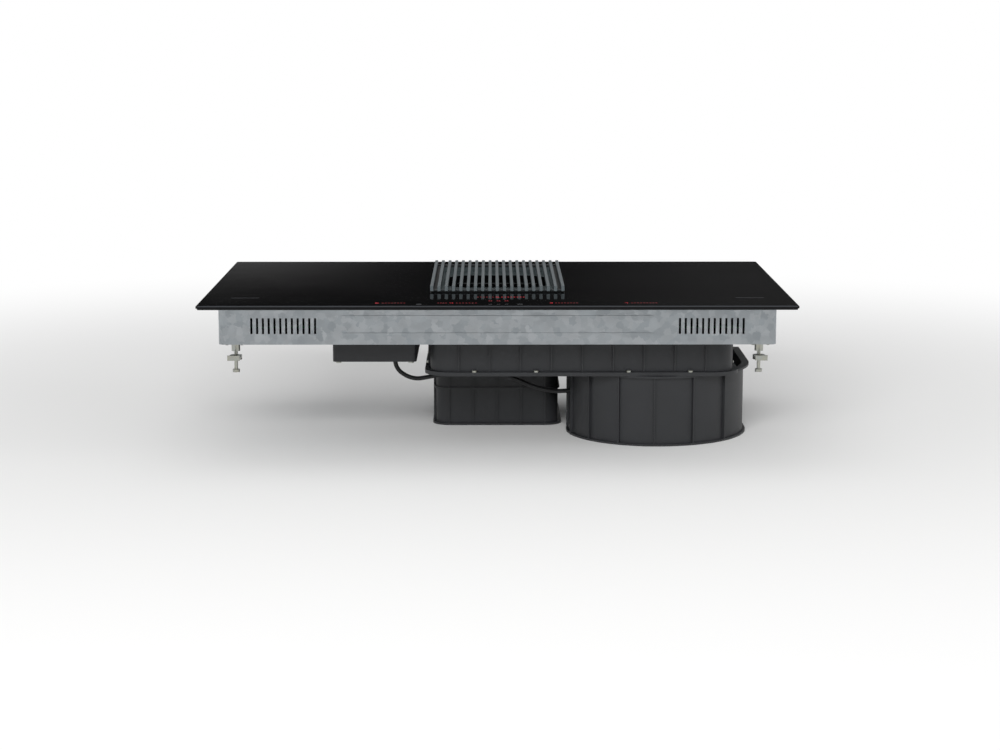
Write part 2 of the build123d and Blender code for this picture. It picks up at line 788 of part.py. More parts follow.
def coil_carriers():
    """Aluminium discs that hold the windings."""
    return group(pipe(coil_radius + carrier_edge, sensor_radius + sensor_gap, carrier_thick, x, y,
                      carrier_under_z) for x, y in coil_centres())


def ferrite_bars():
    """Ferrite bars, set like spokes under each carrier."""
    bars = []
    start = coil_eye_radius + ferrite_start
    length = coil_radius - ferrite_end - start
    bar = Pos(start + length / 2, 0, 0) * Box(length, ferrite_width, ferrite_thick)
    for x, y in coil_centres():
        for index in range(ferrites_per_coil):
            turn = Rot(0, 0, index * 360.0 / ferrites_per_coil)
            bars.append(Pos(x, y, carrier_under_z - ferrite_thick / 2) * turn * bar)
    return group(bars)


def coil_sensors():
    """Temperature sensor in the eye of each coil, pressed up against the glass."""
    height = mica_top_z - carrier_under_z
    return group(rod(sensor_radius, height, x, y, carrier_under_z) for x, y in coil_centres())


def mica_sheets():
    """Thin insulating discs on top of the coils."""
    return group(pipe(coil_radius, sensor_radius + sensor_gap, mica_thick, x, y, mica_under_z)
                 for x, y in coil_centres())


def rail_rows():
    """Y of each rail: one in front of and one behind each coil's middle."""
    return [y + side * rail_offset for y in (coil_front_y, coil_rear_y) for side in (-1, 1)]


def coil_rails():
    """Bridges of folded aluminium that stand on the pan floor and carry the coils."""
    rails = []
    for side in (-1, 1):
        for y in rail_rows():
            top = brick(side * rail_inner_x, side * rail_outer_x, y - rail_width / 2, y + rail_width / 2,
                        rail_top_z - rail_thick, rail_top_z)
            inner_leg = (rail_inner_x, rail_inner_x + rail_thick)
            outer_leg = (rail_outer_x - rail_thick, rail_outer_x)
            legs = [brick(side * a, side * b, y - rail_width / 2, y + rail_width / 2, pan_floor_z, rail_top_z)
                    for a, b in (inner_leg, outer_leg)]
            rails.append(top.fuse(*legs))
    return group(rails)


def coil_cushions():
    """Silicone posts on the rails that press the coils up against the glass."""
    posts = []
    bar_turn = radians(360.0 / ferrites_per_coil)
    clear = ferrite_width / 2 + cushion_radius + cushion_gap
    spread = (rail_offset * cos(bar_turn) - clear) / sin(bar_turn)
    for x, y in coil_centres():
        for sx in (-1, 1):
            for sy in (-1, 1):
                posts.append(rod(cushion_radius, carrier_under_z - rail_top_z, x + sx * spread,
                                 y + sy * rail_offset, rail_top_z))
    return group(posts)


# --------------------------------------------------------------------- power electronics
def power_board(side):
    """Inverter board of one side, on the pan's bosses."""
    return slab(board_width, board_depth, board_thick, 3.0, side * board_centre_x, 0, board_under_z)


def heatsinks():
    """Extruded aluminium heatsinks on the inverter boards."""
    sinks = []
    pitch = (heatsink_width - fin_thick) / (fin_count - 1)
    y0 = heatsink_y - heatsink_depth / 2
    y1 = heatsink_y + heatsink_depth / 2
    for side in (-1, 1):
        x0 = side * board_centre_x - heatsink_width / 2
        base = brick(x0, x0 + heatsink_width, y0, y1, board_top_z, board_top_z + heatsink_base)
        fins = [brick(x0 + i * pitch, x0 + i * pitch + fin_thick, y0, y1, board_top_z,
                      board_top_z + heatsink_height) for i in range(fin_count)]
        sinks.append(base.fuse(*fins))
    return group(sinks)


def board_parts():
    """Film capacitors, chokes, electrolytic capacitors, transistors and a relay on each inverter board."""
    parts = []
    z = board_top_z
    for side in (-1, 1):
        x = side * board_centre_x
        for px in row_of(x, film_capacitor_count, film_capacitor_width + part_gap):
            parts.append(Pos(px, film_capacitor_y, z + film_capacitor_height / 2)
                         * Box(film_capacitor_width, film_capacitor_depth, film_capacitor_height))
        for px in row_of(x, choke_count, 2 * choke_radius + 2 * part_gap):
            parts.append(pipe(choke_radius, choke_bore, choke_height, px, choke_y, z))
        for px in row_of(x, electrolytic_count, 2 * electrolytic_radius + 2 * part_gap):
            parts.append(rod(electrolytic_radius, electrolytic_height, px, electrolytic_y, z))
        for px in row_of(x, transistor_count, transistor_width + part_gap):
            parts.append(Pos(px, transistor_y, z + transistor_height / 2)
                         * Box(transistor_width, transistor_thick, transistor_height))
        parts.append(Pos(x, relay_y, z + relay_height / 2) * Box(relay_width, relay_depth, relay_height))
    return group(parts)


def fan_frames():
    """Square frames of the two board fans, each with a hub plate and pin on three arms."""
    frames = []
    half = board_fan_size / 2
    for side in (-1, 1):
        at = Pos(side * board_fan_x, board_fan_y, pan_floor_z)
        body = slab(board_fan_size, board_fan_size, board_fan_height, board_fan_corner)
        body = body.cut(rod(half - board_fan_wall, board_fan_height))
        hub = rod(board_fan_hub - board_fan_tip_gap, board_fan_plate)
        arm = Pos(half / 2, 0, board_fan_plate / 2) * Box(half, board_fan_arm, board_fan_plate)
        arms = [Rot(0, 0, turn) * arm for turn in (0, 120, 240)]
        pin = rod(board_fan_pin, board_fan_height - board_fan_plate - 2 * board_fan_clear)
        frames.append(at * body.fuse(hub, *arms, pin))
    return group(frames)


def fan_rotor(side):
    """Rotor of one board fan: a hub with pitched blades, turning on the frame's pin."""
    low = board_fan_plate + board_fan_clear
    height = board_fan_height - low - board_fan_clear
    tip = board_fan_size / 2 - board_fan_wall - board_fan_tip_gap
    bore = rod(board_fan_pin + bearing_gap, height - board_fan_plate, z=low)
    hub = rod(board_fan_hub, height, z=low).cut(bore)
    length = tip - board_fan_hub + board_fan_blade
    blade = Pos(tip - length / 2, 0, low + height / 2) * Rot(board_fan_pitch, 0, 0) * Box(
        length, board_fan_chord, board_fan_blade)
    blades = [Rot(0, 0, i * 360.0 / board_fan_blades) * blade for i in range(board_fan_blades)]
    return Pos(side * board_fan_x, board_fan_y, pan_floor_z) * hub.fuse(*blades).clean()


# ------------------------------------------------------------------------- touch control
touch_holder_top_z = glass_under_z - light_guide_height - touch_board_thick - fit_gap
touch_board_top_z = touch_holder_top_z + touch_board_thick


def touch_outline(height, grow, z):
    """Outline shared by the touch board and its holder: a long strip with a tab for the fan slider."""
    strip = slab(touch_width + 2 * grow, touch_depth + 2 * grow, height, touch_corner, y=touch_centre_y,
                 z=z)
    tab_y = touch_centre_y + (touch_depth + touch_tab_depth - touch_tab_overlap) / 2
    tab = slab(touch_tab_width + 2 * grow, touch_tab_depth + touch_tab_overlap + 2 * grow, height,
               touch_corner, y=tab_y, z=z)
    return strip.fuse(tab)


def touch_board():
    """Circuit board with the touch fields and lights, under the front of the glass."""
    return touch_outline(touch_board_thick, -touch_holder_wall, touch_holder_top_z).clean()


def touch_holder():
    """Plastic tray that carries the touch board, on two feet that stand on the pan floor."""
    low_z = touch_holder_top_z - touch_holder_height
    hollow_height = touch_holder_height - touch_holder_wall
    body = touch_outline(touch_holder_height, 0, low_z).cut(
        touch_outline(hollow_height, -2 * touch_holder_wall, low_z + touch_holder_wall))
    feet = [slab(touch_foot_width, touch_foot_depth, low_z - pan_floor_z, touch_corner, side * touch_foot_x,
                 touch_centre_y, pan_floor_z) for side in (-1, 1)]
    return body.fuse(*feet).clean()


def light_guides():
    """Clear plastic light guides between the board's lamps and the glass: four zones and the fan."""
    guides = [slab(zone_slider_length, zone_slider_width, light_guide_height, slider_corner, x,
                   zone_slider_y, touch_board_top_z) for x in zone_slider_x]
    guides.append(slab(fan_slider_length, fan_slider_width, light_guide_height, slider_corner, 0,
                       fan_slider_y, touch_board_top_z))
    return group(guides)


# ------------------------------------------------------------------------------- air box
def air_box_slab(height, grow, z):
    """The air box outline, grown or drawn in, as a slab."""
    return slab(air_box_width + 2 * grow, air_box_depth + 2 * grow, height, air_box_corner + grow,
                air_box_centre_x, air_box_centre_y, z)


def air_box_upper():
    """Upper shell of the air box, an upturned tub with a rim, roof ribs and the opening for the air shaft."""
    body = air_box_slab(air_box_height, 0, deck_top_z)
    body = fillet(body.edges().group_by(Axis.Z)[-1], air_box_round)
    body = body.fuse(air_box_slab(rim_thick, rim_width, deck_top_z))
    inside = air_box_slab(air_box_height - air_box_wall, -air_box_wall, deck_top_z)
    opening = slab(shaft_outer_width + 2 * fit_gap, shaft_outer_depth + 2 * fit_gap, air_box_height,
                   shaft_outer_corner + fit_gap, y=neck_centre_y, z=deck_top_z)
    body = body.cut(inside, opening)
    span = (deck_top_z + rim_thick - rib_root, air_box_top_z - box_rib_drop)
    ribs = []
    for side in (-1, 1):
        wall_y = air_box_centre_y + side * air_box_depth / 2
        wall_x = air_box_centre_x + side * air_box_width / 2
        for x in row_of(air_box_centre_x, box_ribs, box_rib_pitch):
            ribs.append(rib(x, wall_y, side * 90, *span))
        for y in row_of(air_box_centre_y, box_side_ribs, box_rib_pitch):
            ribs.append(rib(wall_x, y, 90 - side * 90, *span))
    return body.fuse(*ribs)


def chamber_slab(height, grow, z):
    """The drip chamber outline, grown or drawn in, as a slab."""
    return slab(chamber_width + 2 * grow, chamber_depth + 2 * grow, height, chamber_corner + grow,
                y=neck_centre_y, z=z)


def air_box_lower():
    """Floor of the air box with the drip chamber under the filter and the fan's eye."""
    deck = air_box_slab(deck_thick, rim_width, deck_under_z)
    chamber = chamber_slab(scroll_height, chamber_wall, 0)
    foot = chamber_slab(rim_thick, chamber_wall + chamber_foot, 0)
    belt = chamber_slab(rim_thick, chamber_wall + chamber_belt, tray_height + tray_lift)
    span = (rib_root, deck_under_z + rib_root)
    ribs = []
    for side in (-1, 1):
        wall_y = neck_centre_y + side * (chamber_depth / 2 + chamber_wall)
        for x in row_of(0, chamber_ribs, chamber_rib_pitch):
            ribs.append(rib(x, wall_y, side * 90, *span))
    for y in row_of(neck_centre_y, chamber_side_ribs, chamber_side_rib_pitch):
        ribs.append(rib(-chamber_width / 2 - chamber_wall, y, 180, *span))
    body = deck.fuse(chamber, foot, belt, *ribs)
    hollow = chamber_slab(scroll_height + deck_thick, 0, 0)
    eye = rod(eye_radius + bell_round + 2 * fit_gap, deck_thick, fan_x, fan_y, deck_under_z)
    return body.cut(hollow, eye).clean()


def box_gasket():
    """Foam ring that seals the air box roof against the hob pan, round the shaft."""
    outer = slab(shaft_outer_width + 2 * gasket_border, shaft_outer_depth + 2 * gasket_border,
                 box_gasket_thick, shaft_outer_corner, y=neck_centre_y, z=air_box_top_z)
    hole = slab(shaft_outer_width + 2 * fit_gap, shaft_outer_depth + 2 * fit_gap, box_gasket_thick,
                shaft_outer_corner + fit_gap, y=neck_centre_y, z=air_box_top_z)
    return outer - hole


def inlet_ring():
    """Bell-mouthed ring that leads the air from the air box into the impeller's eye."""
    mouth = eye_radius + bell_round
    low_z = deck_top_z - bell_depth
    outline = Polyline((bell_flange_radius, deck_top_z), (bell_flange_radius, deck_top_z + bell_thick),
                       (mouth, deck_top_z + bell_thick),
                       (eye_radius + bell_thick / 2, deck_top_z - bell_turn / 3),
                       (eye_radius, deck_top_z - bell_turn), (eye_radius, low_z),
                       (eye_radius + bell_thick, low_z), (eye_radius + bell_thick, deck_top_z - bell_turn),
                       (eye_radius + 1.5 * bell_thick, deck_top_z - bell_turn / 2), (mouth, deck_top_z),
                       close=True)
    face = Plane.XZ * make_face(outline)
    return Pos(fan_x, fan_y, 0) * revolve(face, Axis.Z)


# ---------------------------------------------------------------------------- fan scroll
def scroll_arcs():
    """Centre, radius and first angle of the scroll's four arcs, from the tongue to the outlet channel."""
    half = scroll_step / 2
    centres = [(-half, half), (-half, -half), (half, -half), (half, half)]
    arcs = []
    for index, (x, y) in enumerate(centres):
        first_angle = 90.0 * index if index else tongue_angle
        arcs.append(((fan_x + x, fan_y + y), scroll_start_radius + index * scroll_step, first_angle))
    return arcs


def scroll_face(grow, z):
    """Outline of the scroll and its outlet channel, grown by a wall's thickness."""
    (x, y), radius, _ = scroll_arcs()[0]
    tongue_turn = degrees(acos((channel_left_x - grow - x) / (radius + grow)))
    pieces = [CenterArc((x, y), radius + grow, tongue_turn, 90.0 - tongue_turn)]
    for centre, radius, first_angle in scroll_arcs()[1:]:
        pieces.append(CenterArc(centre, radius + grow, first_angle, 90.0))
    first = pieces[0] @ 0
    last = pieces[-1] @ 1
    left_end = (channel_left_x - grow, outlet_channel_y)
    right_end = (channel_right_x + grow, outlet_channel_y)
    outline = Curve() + pieces + [Line(last, right_end), Line(right_end, left_end), Line(left_end, first)]
    return Pos(0, 0, z) * make_face(outline)


def scroll_wall_point(angle):
    """A point on the outside of the scroll's wall, at an angle past the first quarter."""
    centre, radius, _ = scroll_arcs()[min(int(angle // 90), 3)]
    reach = radius + scroll_wall
    return centre[0] + reach * cos(radians(angle)), centre[1] + reach * sin(radians(angle))


def scroll_tub():
    """Fan scroll, open towards the air box deck, with the outlet channel running to the back."""
    outer = extrude(scroll_face(scroll_wall, 0), scroll_height)
    rim = extrude(scroll_face(scroll_wall + rim_width, scroll_height - rim_thick), rim_thick)
    foot = extrude(scroll_face(scroll_wall + rim_width / 2, 0), rim_thick)
    ribs = []
    for index in range(scroll_ribs):
        angle = scroll_rib_start + index * scroll_rib_step
        x, y = scroll_wall_point(angle)
        ribs.append(rib(x, y, angle, rib_root, scroll_height - rib_root))
    body = outer.fuse(rim, foot, *ribs)
    inside = extrude(scroll_face(0, scroll_floor), scroll_height)
    motor_hole = rod(motor_opening_radius, scroll_floor, fan_x, fan_y, 0)
    cable_x = cable_route[0][0]
    cable_hole = rod_x(cable_radius + fit_gap, cable_x - cable_hole_length, cable_x, cable_y, cable_exit_z)
    return body.cut(inside, motor_hole, cable_hole)


# -------------------------------------------------------------------- impeller and motor
def impeller():
    """Drum impeller: curved blades between a floor plate and a top ring, on a hub over the motor."""
    floor_z = impeller_floor_z
    hub_bore = hub_radius - hub_wall
    plate = pipe(impeller_radius, hub_bore, impeller_plate, z=floor_z)
    ring = pipe(impeller_radius, impeller_radius - impeller_ring, impeller_plate,
                z=floor_z + impeller_height - impeller_plate)
    hub = rod(hub_radius, hub_height, z=floor_z).cut(
        rod(hub_bore, hub_height - hub_wall, z=floor_z), rod(shaft_radius, hub_height, z=floor_z))
    blade = Pos(0, 0, floor_z + impeller_plate / 2) * extrude(
        make_face(blade_outline()), impeller_height - impeller_plate)
    blades = [Rot(0, 0, i * 360.0 / blade_count) * blade for i in range(blade_count)]
    return Pos(fan_x, fan_y, 0) * plate.fuse(ring, hub, *blades)


def blade_outline():
    """One blade seen from above: a curved strip from the inner radius out to just inside the rim."""
    inner = impeller_radius - blade_depth
    outer = impeller_radius - blade_rim_gap
    middle = (inner + outer) / 2
    tip = (outer - blade_tip_cut, blade_lean + blade_thick)
    return (ThreePointArc((inner, 0), (middle, -blade_bow), (outer, blade_lean))
            + Line((outer, blade_lean), tip)
            + ThreePointArc(tip, (middle, blade_thick - blade_bow), (inner, blade_thick))
            + Line((inner, blade_thick), (inner, 0)))


rotor_floor_z = impeller_floor_z + rotor_lift
rotor_top_z = impeller_floor_z + hub_height - hub_wall - rotor_top_gap
base_top_z = scroll_floor + motor_flange_thick
shaft_end_z = scroll_floor + shaft_end_gap
tube_top_z = rotor_top_z - rotor_wall - tube_top_gap


def motor_rotor():
    """Steel rotor cup with its magnets, pressed into the impeller's hub."""
    height = rotor_top_z - rotor_floor_z
    cup = rod(rotor_radius, height, fan_x, fan_y, rotor_floor_z)
    hollow = rod(rotor_radius - rotor_wall, height - rotor_wall, fan_x, fan_y, rotor_floor_z)
    return cup.cut(hollow, rod(shaft_radius, rotor_top_z, fan_x, fan_y, 0))


def motor_shaft():
    """Steel shaft, fast in the rotor cup and turning in the base's two bearings."""
    top_z = impeller_floor_z + hub_height + shaft_stub
    return rod(shaft_radius, top_z - shaft_end_z, fan_x, fan_y, shaft_end_z)


def motor_base():
    """Cast motor base: a flange on the scroll floor and the tube that holds the bearings and the stator."""
    height = tube_top_z - scroll_floor
    flange = rod(motor_flange_radius, motor_flange_thick, fan_x, fan_y, scroll_floor)
    tube = rod(bearing_radius + tube_wall, height, fan_x, fan_y, scroll_floor)
    return flange.fuse(tube).cut(rod(bearing_radius, height, fan_x, fan_y, scroll_floor))


def motor_bearings():
    """Two ball bearings, shown as plain rings, low and high in the base's tube."""
    return group(pipe(bearing_radius, shaft_radius + bearing_gap, bearing_height, fan_x, fan_y, z)
                 for z in (base_top_z + bearing_inset, tube_top_z - bearing_height - bearing_inset))


def motor_stator():
    """Laminated stator with its slots, on the bearing tube inside the rotor cup."""
    low_z = rotor_floor_z + stator_lift
    body = pipe(stator_radius, bearing_radius + tube_wall, stator_height, fan_x, fan_y, low_z)
    tool = Pos(stator_slot_radius, 0, 0) * Box(stator_slot_length, stator_slot_width, stator_height)
    middle = Pos(fan_x, fan_y, low_z + stator_height / 2)
    return cut_all(body, [middle * Rot(0, 0, i * 360.0 / stator_teeth) * tool for i in range(stator_teeth)])


# --------------------------------------------------------------------- outlet and damper
def outlet_section(centre_x, width, height, y):
    """A round-cornered rectangle standing across the outlet at y."""
    plane = Plane(origin=(centre_x, y, scroll_centre_z), x_dir=(1, 0, 0), z_dir=(0, 1, 0))
    return plane * RectangleRounded(width, height, outlet_corner)


def outlet_spigot():
    """Outlet: widens from the scroll's channel to a flat spigot for flat ducting, with damper bearings."""
    channel_x = (channel_left_x + channel_right_x) / 2
    channel_width = channel_right_x - channel_left_x
    outer = loft([outlet_section(channel_x, channel_width + 2 * scroll_wall, scroll_height, outlet_channel_y),
                  outlet_section(outlet_centre_x, outlet_width, outlet_height, outlet_start_y)], ruled=True)
    bore_width = outlet_width - 2 * outlet_wall
    bore_height = outlet_height - 2 * outlet_wall
    inner = loft([outlet_section(channel_x, channel_width, scroll_height - 2 * scroll_wall, outlet_channel_y),
                  outlet_section(outlet_centre_x, bore_width, bore_height, outlet_start_y)], ruled=True)
    tube = extrude(outlet_section(outlet_centre_x, outlet_width, outlet_height, outlet_start_y),
                   spigot_length)
    bore = extrude(outlet_section(outlet_centre_x, bore_width, bore_height, outlet_start_y), spigot_length)
    bead = extrude(outlet_section(outlet_centre_x, outlet_width + 2 * outlet_bead,
                                  outlet_height + 2 * outlet_bead, outlet_start_y), outlet_bead_length)
    body = outer.fuse(tube, bead).cut(inner, bore)
    reach = outlet_width / 2 + outlet_wall
    holes = [rod_x(flap_pivot_radius + flap_pivot_gap, outlet_centre_x - reach, outlet_centre_x + reach,
                   flap_y, scroll_centre_z + side * flap_pivot_offset) for side in (-1, 1)]
    return body.cut(*holes)


def damper_flap(side):
    """One damper flap, side +1 for the upper and -1 for the lower, with pivot pins in the spigot's walls."""
    axis_z = scroll_centre_z + side * flap_pivot_offset
    width = outlet_width - 2 * (outlet_wall + flap_side_gap)
    height = outlet_height - 2 * (outlet_wall + flap_side_gap)
    leaf = extrude(outlet_section(outlet_centre_x, width, height, flap_y - flap_thick / 2), flap_thick)
    leaf = leaf.cut(brick(outlet_centre_x - width, outlet_centre_x + width, flap_y - flap_thick,
                          flap_y + flap_thick, axis_z, scroll_centre_z - side * outlet_height))
    barrel = rod_x(flap_pivot_radius + flap_barrel_wall, outlet_centre_x - width / 2,
                   outlet_centre_x + width / 2, flap_y, axis_z)
    pin = rod_x(flap_pivot_radius, outlet_centre_x - outlet_width / 2, outlet_centre_x + outlet_width / 2,
                flap_y, axis_z)
    return leaf.fuse(barrel, pin).clean()


# ----------------------------------------------------------------------------- drip tray
def tray_slab(height, inset, z):
    """The drip tray outline, drawn in by an inset, as a slab."""
    gap = tray_gap + inset
    return slab(chamber_width - 2 * gap, chamber_depth - 2 * gap, height, chamber_corner - gap,
                y=neck_centre_y, z=z)


def drip_tray():
    """Tray that closes the drip chamber from below, with a grip recess in its floor and a bar across it."""
    body = tray_slab(tray_height, 0, tray_lift)
    body = body.cut(tray_slab(tray_height, tray_wall, tray_lift + tray_wall))
    box = slab(tray_grip_width + 2 * tray_wall, tray_grip_depth + 2 * tray_wall, tray_grip_height,
               tray_grip_corner + tray_wall, y=neck_centre_y, z=tray_lift + tray_wall)
    pocket = slab(tray_grip_width, tray_grip_depth, tray_grip_height, tray_grip_corner, y=neck_centre_y,
                  z=tray_lift)
    half = tray_grip_width / 2 + tray_wall / 2
    bar = brick(-half, half, neck_centre_y - tray_grip_bar / 2, neck_centre_y + tray_grip_bar / 2,
                tray_lift, tray_lift + tray_grip_bar)
    return body.fuse(box).cut(pocket).fuse(bar).clean()


# -------------------------------------------------------------------------- terminal box
terminal_back_y = terminal_y + terminal_depth / 2
terminal_left_x = terminal_x - terminal_width / 2
lid_axis_z = pan_bottom_z - lid_axis_drop
lid_axis_y = terminal_back_y + lid_pin_radius + lid_barrel_wall + lid_back_gap
gland_y = terminal_y - gland_setback
gland_z = terminal_under_z + gland_z_up
gland_radius = gland_bore + gland_wall


def terminal_box():
    """Box under the pan for the mains connection, open at the back, with two hinge ears and the inlet."""
    body = slab(terminal_width, terminal_depth, terminal_height, terminal_corner, terminal_x, terminal_y,
                terminal_under_z)
    hollow = brick(terminal_left_x + terminal_wall, terminal_left_x + terminal_width - terminal_wall,
                   terminal_y - terminal_depth / 2 + terminal_wall, terminal_back_y + terminal_wall,
                   terminal_under_z + terminal_wall, pan_bottom_z - 2 * terminal_wall)
    hole = rod_x(gland_radius + fit_gap / 2, terminal_left_x - terminal_wall,
                 terminal_left_x + 2 * terminal_wall, gland_y, gland_z)
    ears = []
    for side in (-1, 1):
        x = terminal_x + side * (terminal_width - lid_ear_width) / 2
        ears.append(brick(x - lid_ear_width / 2, x + lid_ear_width / 2, terminal_back_y - terminal_wall,
                          lid_axis_y + lid_ear_reach, lid_axis_z - lid_ear_reach, pan_bottom_z))
    pin_hole = rod_x(lid_pin_radius + bearing_gap, terminal_x - terminal_width, terminal_x + terminal_width,
                     lid_axis_y, lid_axis_z)
    return body.cut(hollow, hole).fuse(*ears).cut(pin_hole).clean()


def terminal_lid():
    """Lid of the terminal box, hinged along its top edge on two moulded pins."""
    half = terminal_width / 2 - lid_ear_width - lid_gap
    y0 = lid_axis_y - lid_thick / 2
    y1 = lid_axis_y + lid_thick / 2
    low_z = terminal_under_z + lid_gap
    panel = brick(terminal_x - half, terminal_x + half, y0, y1, low_z, lid_axis_z)
    flare = brick(terminal_x - terminal_width / 2, terminal_x + terminal_width / 2, y0, y1,
                  low_z, lid_axis_z - 2 * lid_ear_reach)
    barrel = rod_x(lid_pin_radius + lid_barrel_wall, terminal_x - half, terminal_x + half, lid_axis_y,
                   lid_axis_z)
    pin = rod_x(lid_pin_radius, terminal_x - terminal_width / 2, terminal_x + terminal_width / 2,
                lid_axis_y, lid_axis_z)
    return panel.fuse(flare, barrel, pin).clean()


def terminal_block():
    """Screw terminal block for five conductors."""
    floor_z = terminal_under_z + terminal_wall
    length = block_ways * block_pitch
    x = terminal_x + block_shift
    y = terminal_y + block_offset
    body = Pos(x, y, floor_z + block_height / 2) * Box(length, block_depth, block_height)
    holes = [rod(block_hole, block_height / 2, way_x, y, floor_z + block_height / 2)
             for way_x in row_of(x, block_ways, block_pitch)]
    return cut_all(body, holes)


def cable_gland():
    """Mains inlet: a hollow gland through the terminal box wall, with a hexagon collar and nut."""
    x_wall = terminal_left_x + terminal_wall
    body = rod_x(gland_radius, x_wall - gland_length, x_wall + gland_inside, gland_y, gland_z)
    hexagon = RegularPolygon(gland_outer, 6)
    collar = Pos(terminal_left_x - gland_collar, gland_y, gland_z) * Rot(0, 90, 0) * extrude(
        hexagon, gland_collar)
    nut = Pos(x_wall, gland_y, gland_z) * Rot(0, 90, 0) * extrude(hexagon, gland_nut)
    bore = rod_x(gland_bore, x_wall - gland_length, x_wall + gland_inside, gland_y, gland_z)
    return body.fuse(collar, nut).cut(bore)


# ----------------------------------------------------------------------- fan control box
def control_box():
    """Housing of the fan's control board, fixed under the hob pan, open at the bottom."""
    height = control_height - lid_thick
    low_z = control_under_z + lid_thick
    body = slab(control_width, control_depth, height, control_corner, control_x, control_y, low_z)
    hollow = slab(control_width - 2 * control_wall, control_depth - 2 * control_wall, height - control_wall,
                  control_corner - control_wall, control_x, control_y, low_z)
    return body.cut(hollow)


def control_lid():
    """Lid under the fan control box, with the hole for the fan cable."""
    plate = slab(control_width, control_depth, lid_thick, control_corner, control_x, control_y,
                 control_under_z)
    inset = 2 * control_wall + fit_gap
    step = slab(control_width - inset, control_depth - inset, control_step, control_corner - control_wall,
                control_x, control_y, control_under_z + lid_thick)
    hole = rod(cable_radius + fit_gap / 2, lid_thick + control_step, cable_end_x, cable_y, control_under_z)
    return plate.fuse(step).cut(hole)


# ----------------------------------------------------------------------------- fan cable
cable_y = fan_y - cable_offset
cable_end_x = control_x + cable_end_offset
cable_route = [
    (fan_x - scroll_start_radius - 1.5 * scroll_step + cable_inside, cable_y, cable_exit_z),
    (84.0, cable_y, 60.0),
    (52.0, cable_y - 3.0, 68.0),
    (18.0, cable_y - 6.0, 84.0),
    (-20.0, cable_y - 7.0, 92.0),
    (-56.0, cable_y - 5.0, 92.0),
    (-92.0, cable_y - 2.0, 84.0),
    (-124.0, cable_y, 78.0),
    (cable_end_x, cable_y, 94.0),
    (cable_end_x, cable_y, control_under_z + lid_thick + cable_inside),
]


def cable_radii():
    """Bend radius at each corner of the route, from a share of the shorter run and half the turn."""
    radii = []
    for before, here, after in zip(cable_route, cable_route[1:], cable_route[2:]):
        run_in = Vector(*here) - Vector(*before)
        run_out = Vector(*after) - Vector(*here)
        turn = radians(run_in.get_angle(run_out))
        radii.append(cable_bend_share * min(run_in.length, run_out.length) / tan(turn / 2))
    return radii


def fan_cable():
    """Fan cable from the scroll to the control box."""
    radii = cable_radii()
    print("fan cable radii", [round(r, 1) for r in radii])
    path = FilletPolyline(*cable_route, radius=radii)
    start = Plane(origin=cable_route[0], z_dir=path % 0)
    tube = sweep(start * Circle(cable_radius), path=path)
    print("fan cable length", round(path.length, 1), "volume share", round(
        tube.volume / (pi * cable_radius ** 2 * path.length), 4))
    return tube


# ------------------------------------------------------------------------ worktop clamps
def clamp_spots():
    """The four clamps: name, x, y."""
    return [("front_left", -clamp_x, -clamp_y), ("front_right", clamp_x, -clamp_y),
            ("rear_left", -clamp_x, clamp_y), ("rear_right", clamp_x, clamp_y)]


def clamp_bracket(x, y):
    """Steel plate riveted under the pan, with the threaded boss of a clamp screw."""
    low_z = pan_bottom_z - clamp_plate_thick
    plate = slab(clamp_plate_width, clamp_plate_depth, clamp_plate_thick, clamp_plate_corner, x, y, low_z)
    boss = rod(clamp_boss_radius, clamp_boss_height, x, y, low_z - clamp_boss_height)
    bore = rod(clamp_screw_radius, clamp_boss_height + clamp_plate_thick, x, y, low_z - clamp_boss_height)
    return plate.fuse(boss).cut(bore)


def clamp_brackets():
    """The four clamp brackets."""
    return group(clamp_bracket(x, y) for name, x, y in clamp_spots())


def clamp_screw(x, y):
    """Clamp screw, turned from below, that draws its arm up against the worktop."""
    low_z = pan_bottom_z - clamp_screw_length
    shank = rod(clamp_screw_radius, clamp_screw_length, x, y, low_z)
    head = rod(clamp_head_radius, clamp_head_height, x, y, low_z)
    recess = Pos(x, y, low_z + clamp_slot_depth / 2)
    slot = Box(clamp_slot_length, clamp_slot_width, clamp_slot_depth)
    cross = Box(clamp_slot_width, clamp_slot_length, clamp_slot_depth)
    return shank.fuse(head).cut(recess * slot, recess * cross)


def clamp_screws():
    """The four clamp screws."""
    return group(clamp_screw(x, y) for name, x, y in clamp_spots())


def clamp_arm(x, y):
    """Clamp arm on its screw, inside the cut-out at rest, with an upturned toe that bites the worktop."""
    outward = 1 if y > 0 else -1
    top_z = pan_bottom_z - clamp_arm_drop
    low_z = top_z - clamp_arm_thick
    half = clamp_arm_width / 2
    tip = clamp_arm_length - half
    hub_z = low_z - clamp_hub_drop
    hub_height = clamp_arm_thick + clamp_hub_drop
    bar = brick(x - half, x + half, y, y + outward * tip, low_z, top_z)
    hub = rod(half, hub_height, x, y, hub_z)
    toe = brick(x - half, x + half, y + outward * (tip - clamp_arm_thick), y + outward * tip, low_z,
                low_z + clamp_toe_height)
    bore = rod(clamp_screw_radius + clamp_screw_gap, hub_height, x, y, hub_z)
    return bar.fuse(hub, toe).cut(bore).clean()


# -------------------------------------------------------------------------------- screws
def box_screw_spots():
    """Screws round the air box rim, each between two ribs."""
    half_w = (air_box_width + rim_width) / 2
    half_d = (air_box_depth + rim_width) / 2
    spots = []
    for x in [air_box_centre_x + share * box_rib_pitch for share in (-3.5, -1.5, 1.5, 3.5)]:
        spots += [(x, air_box_centre_y - half_d), (x, air_box_centre_y + half_d)]
    for y in row_of(air_box_centre_y, 3, 2 * box_rib_pitch):
        spots += [(air_box_centre_x - half_w, y), (air_box_centre_x + half_w, y)]
    return spots


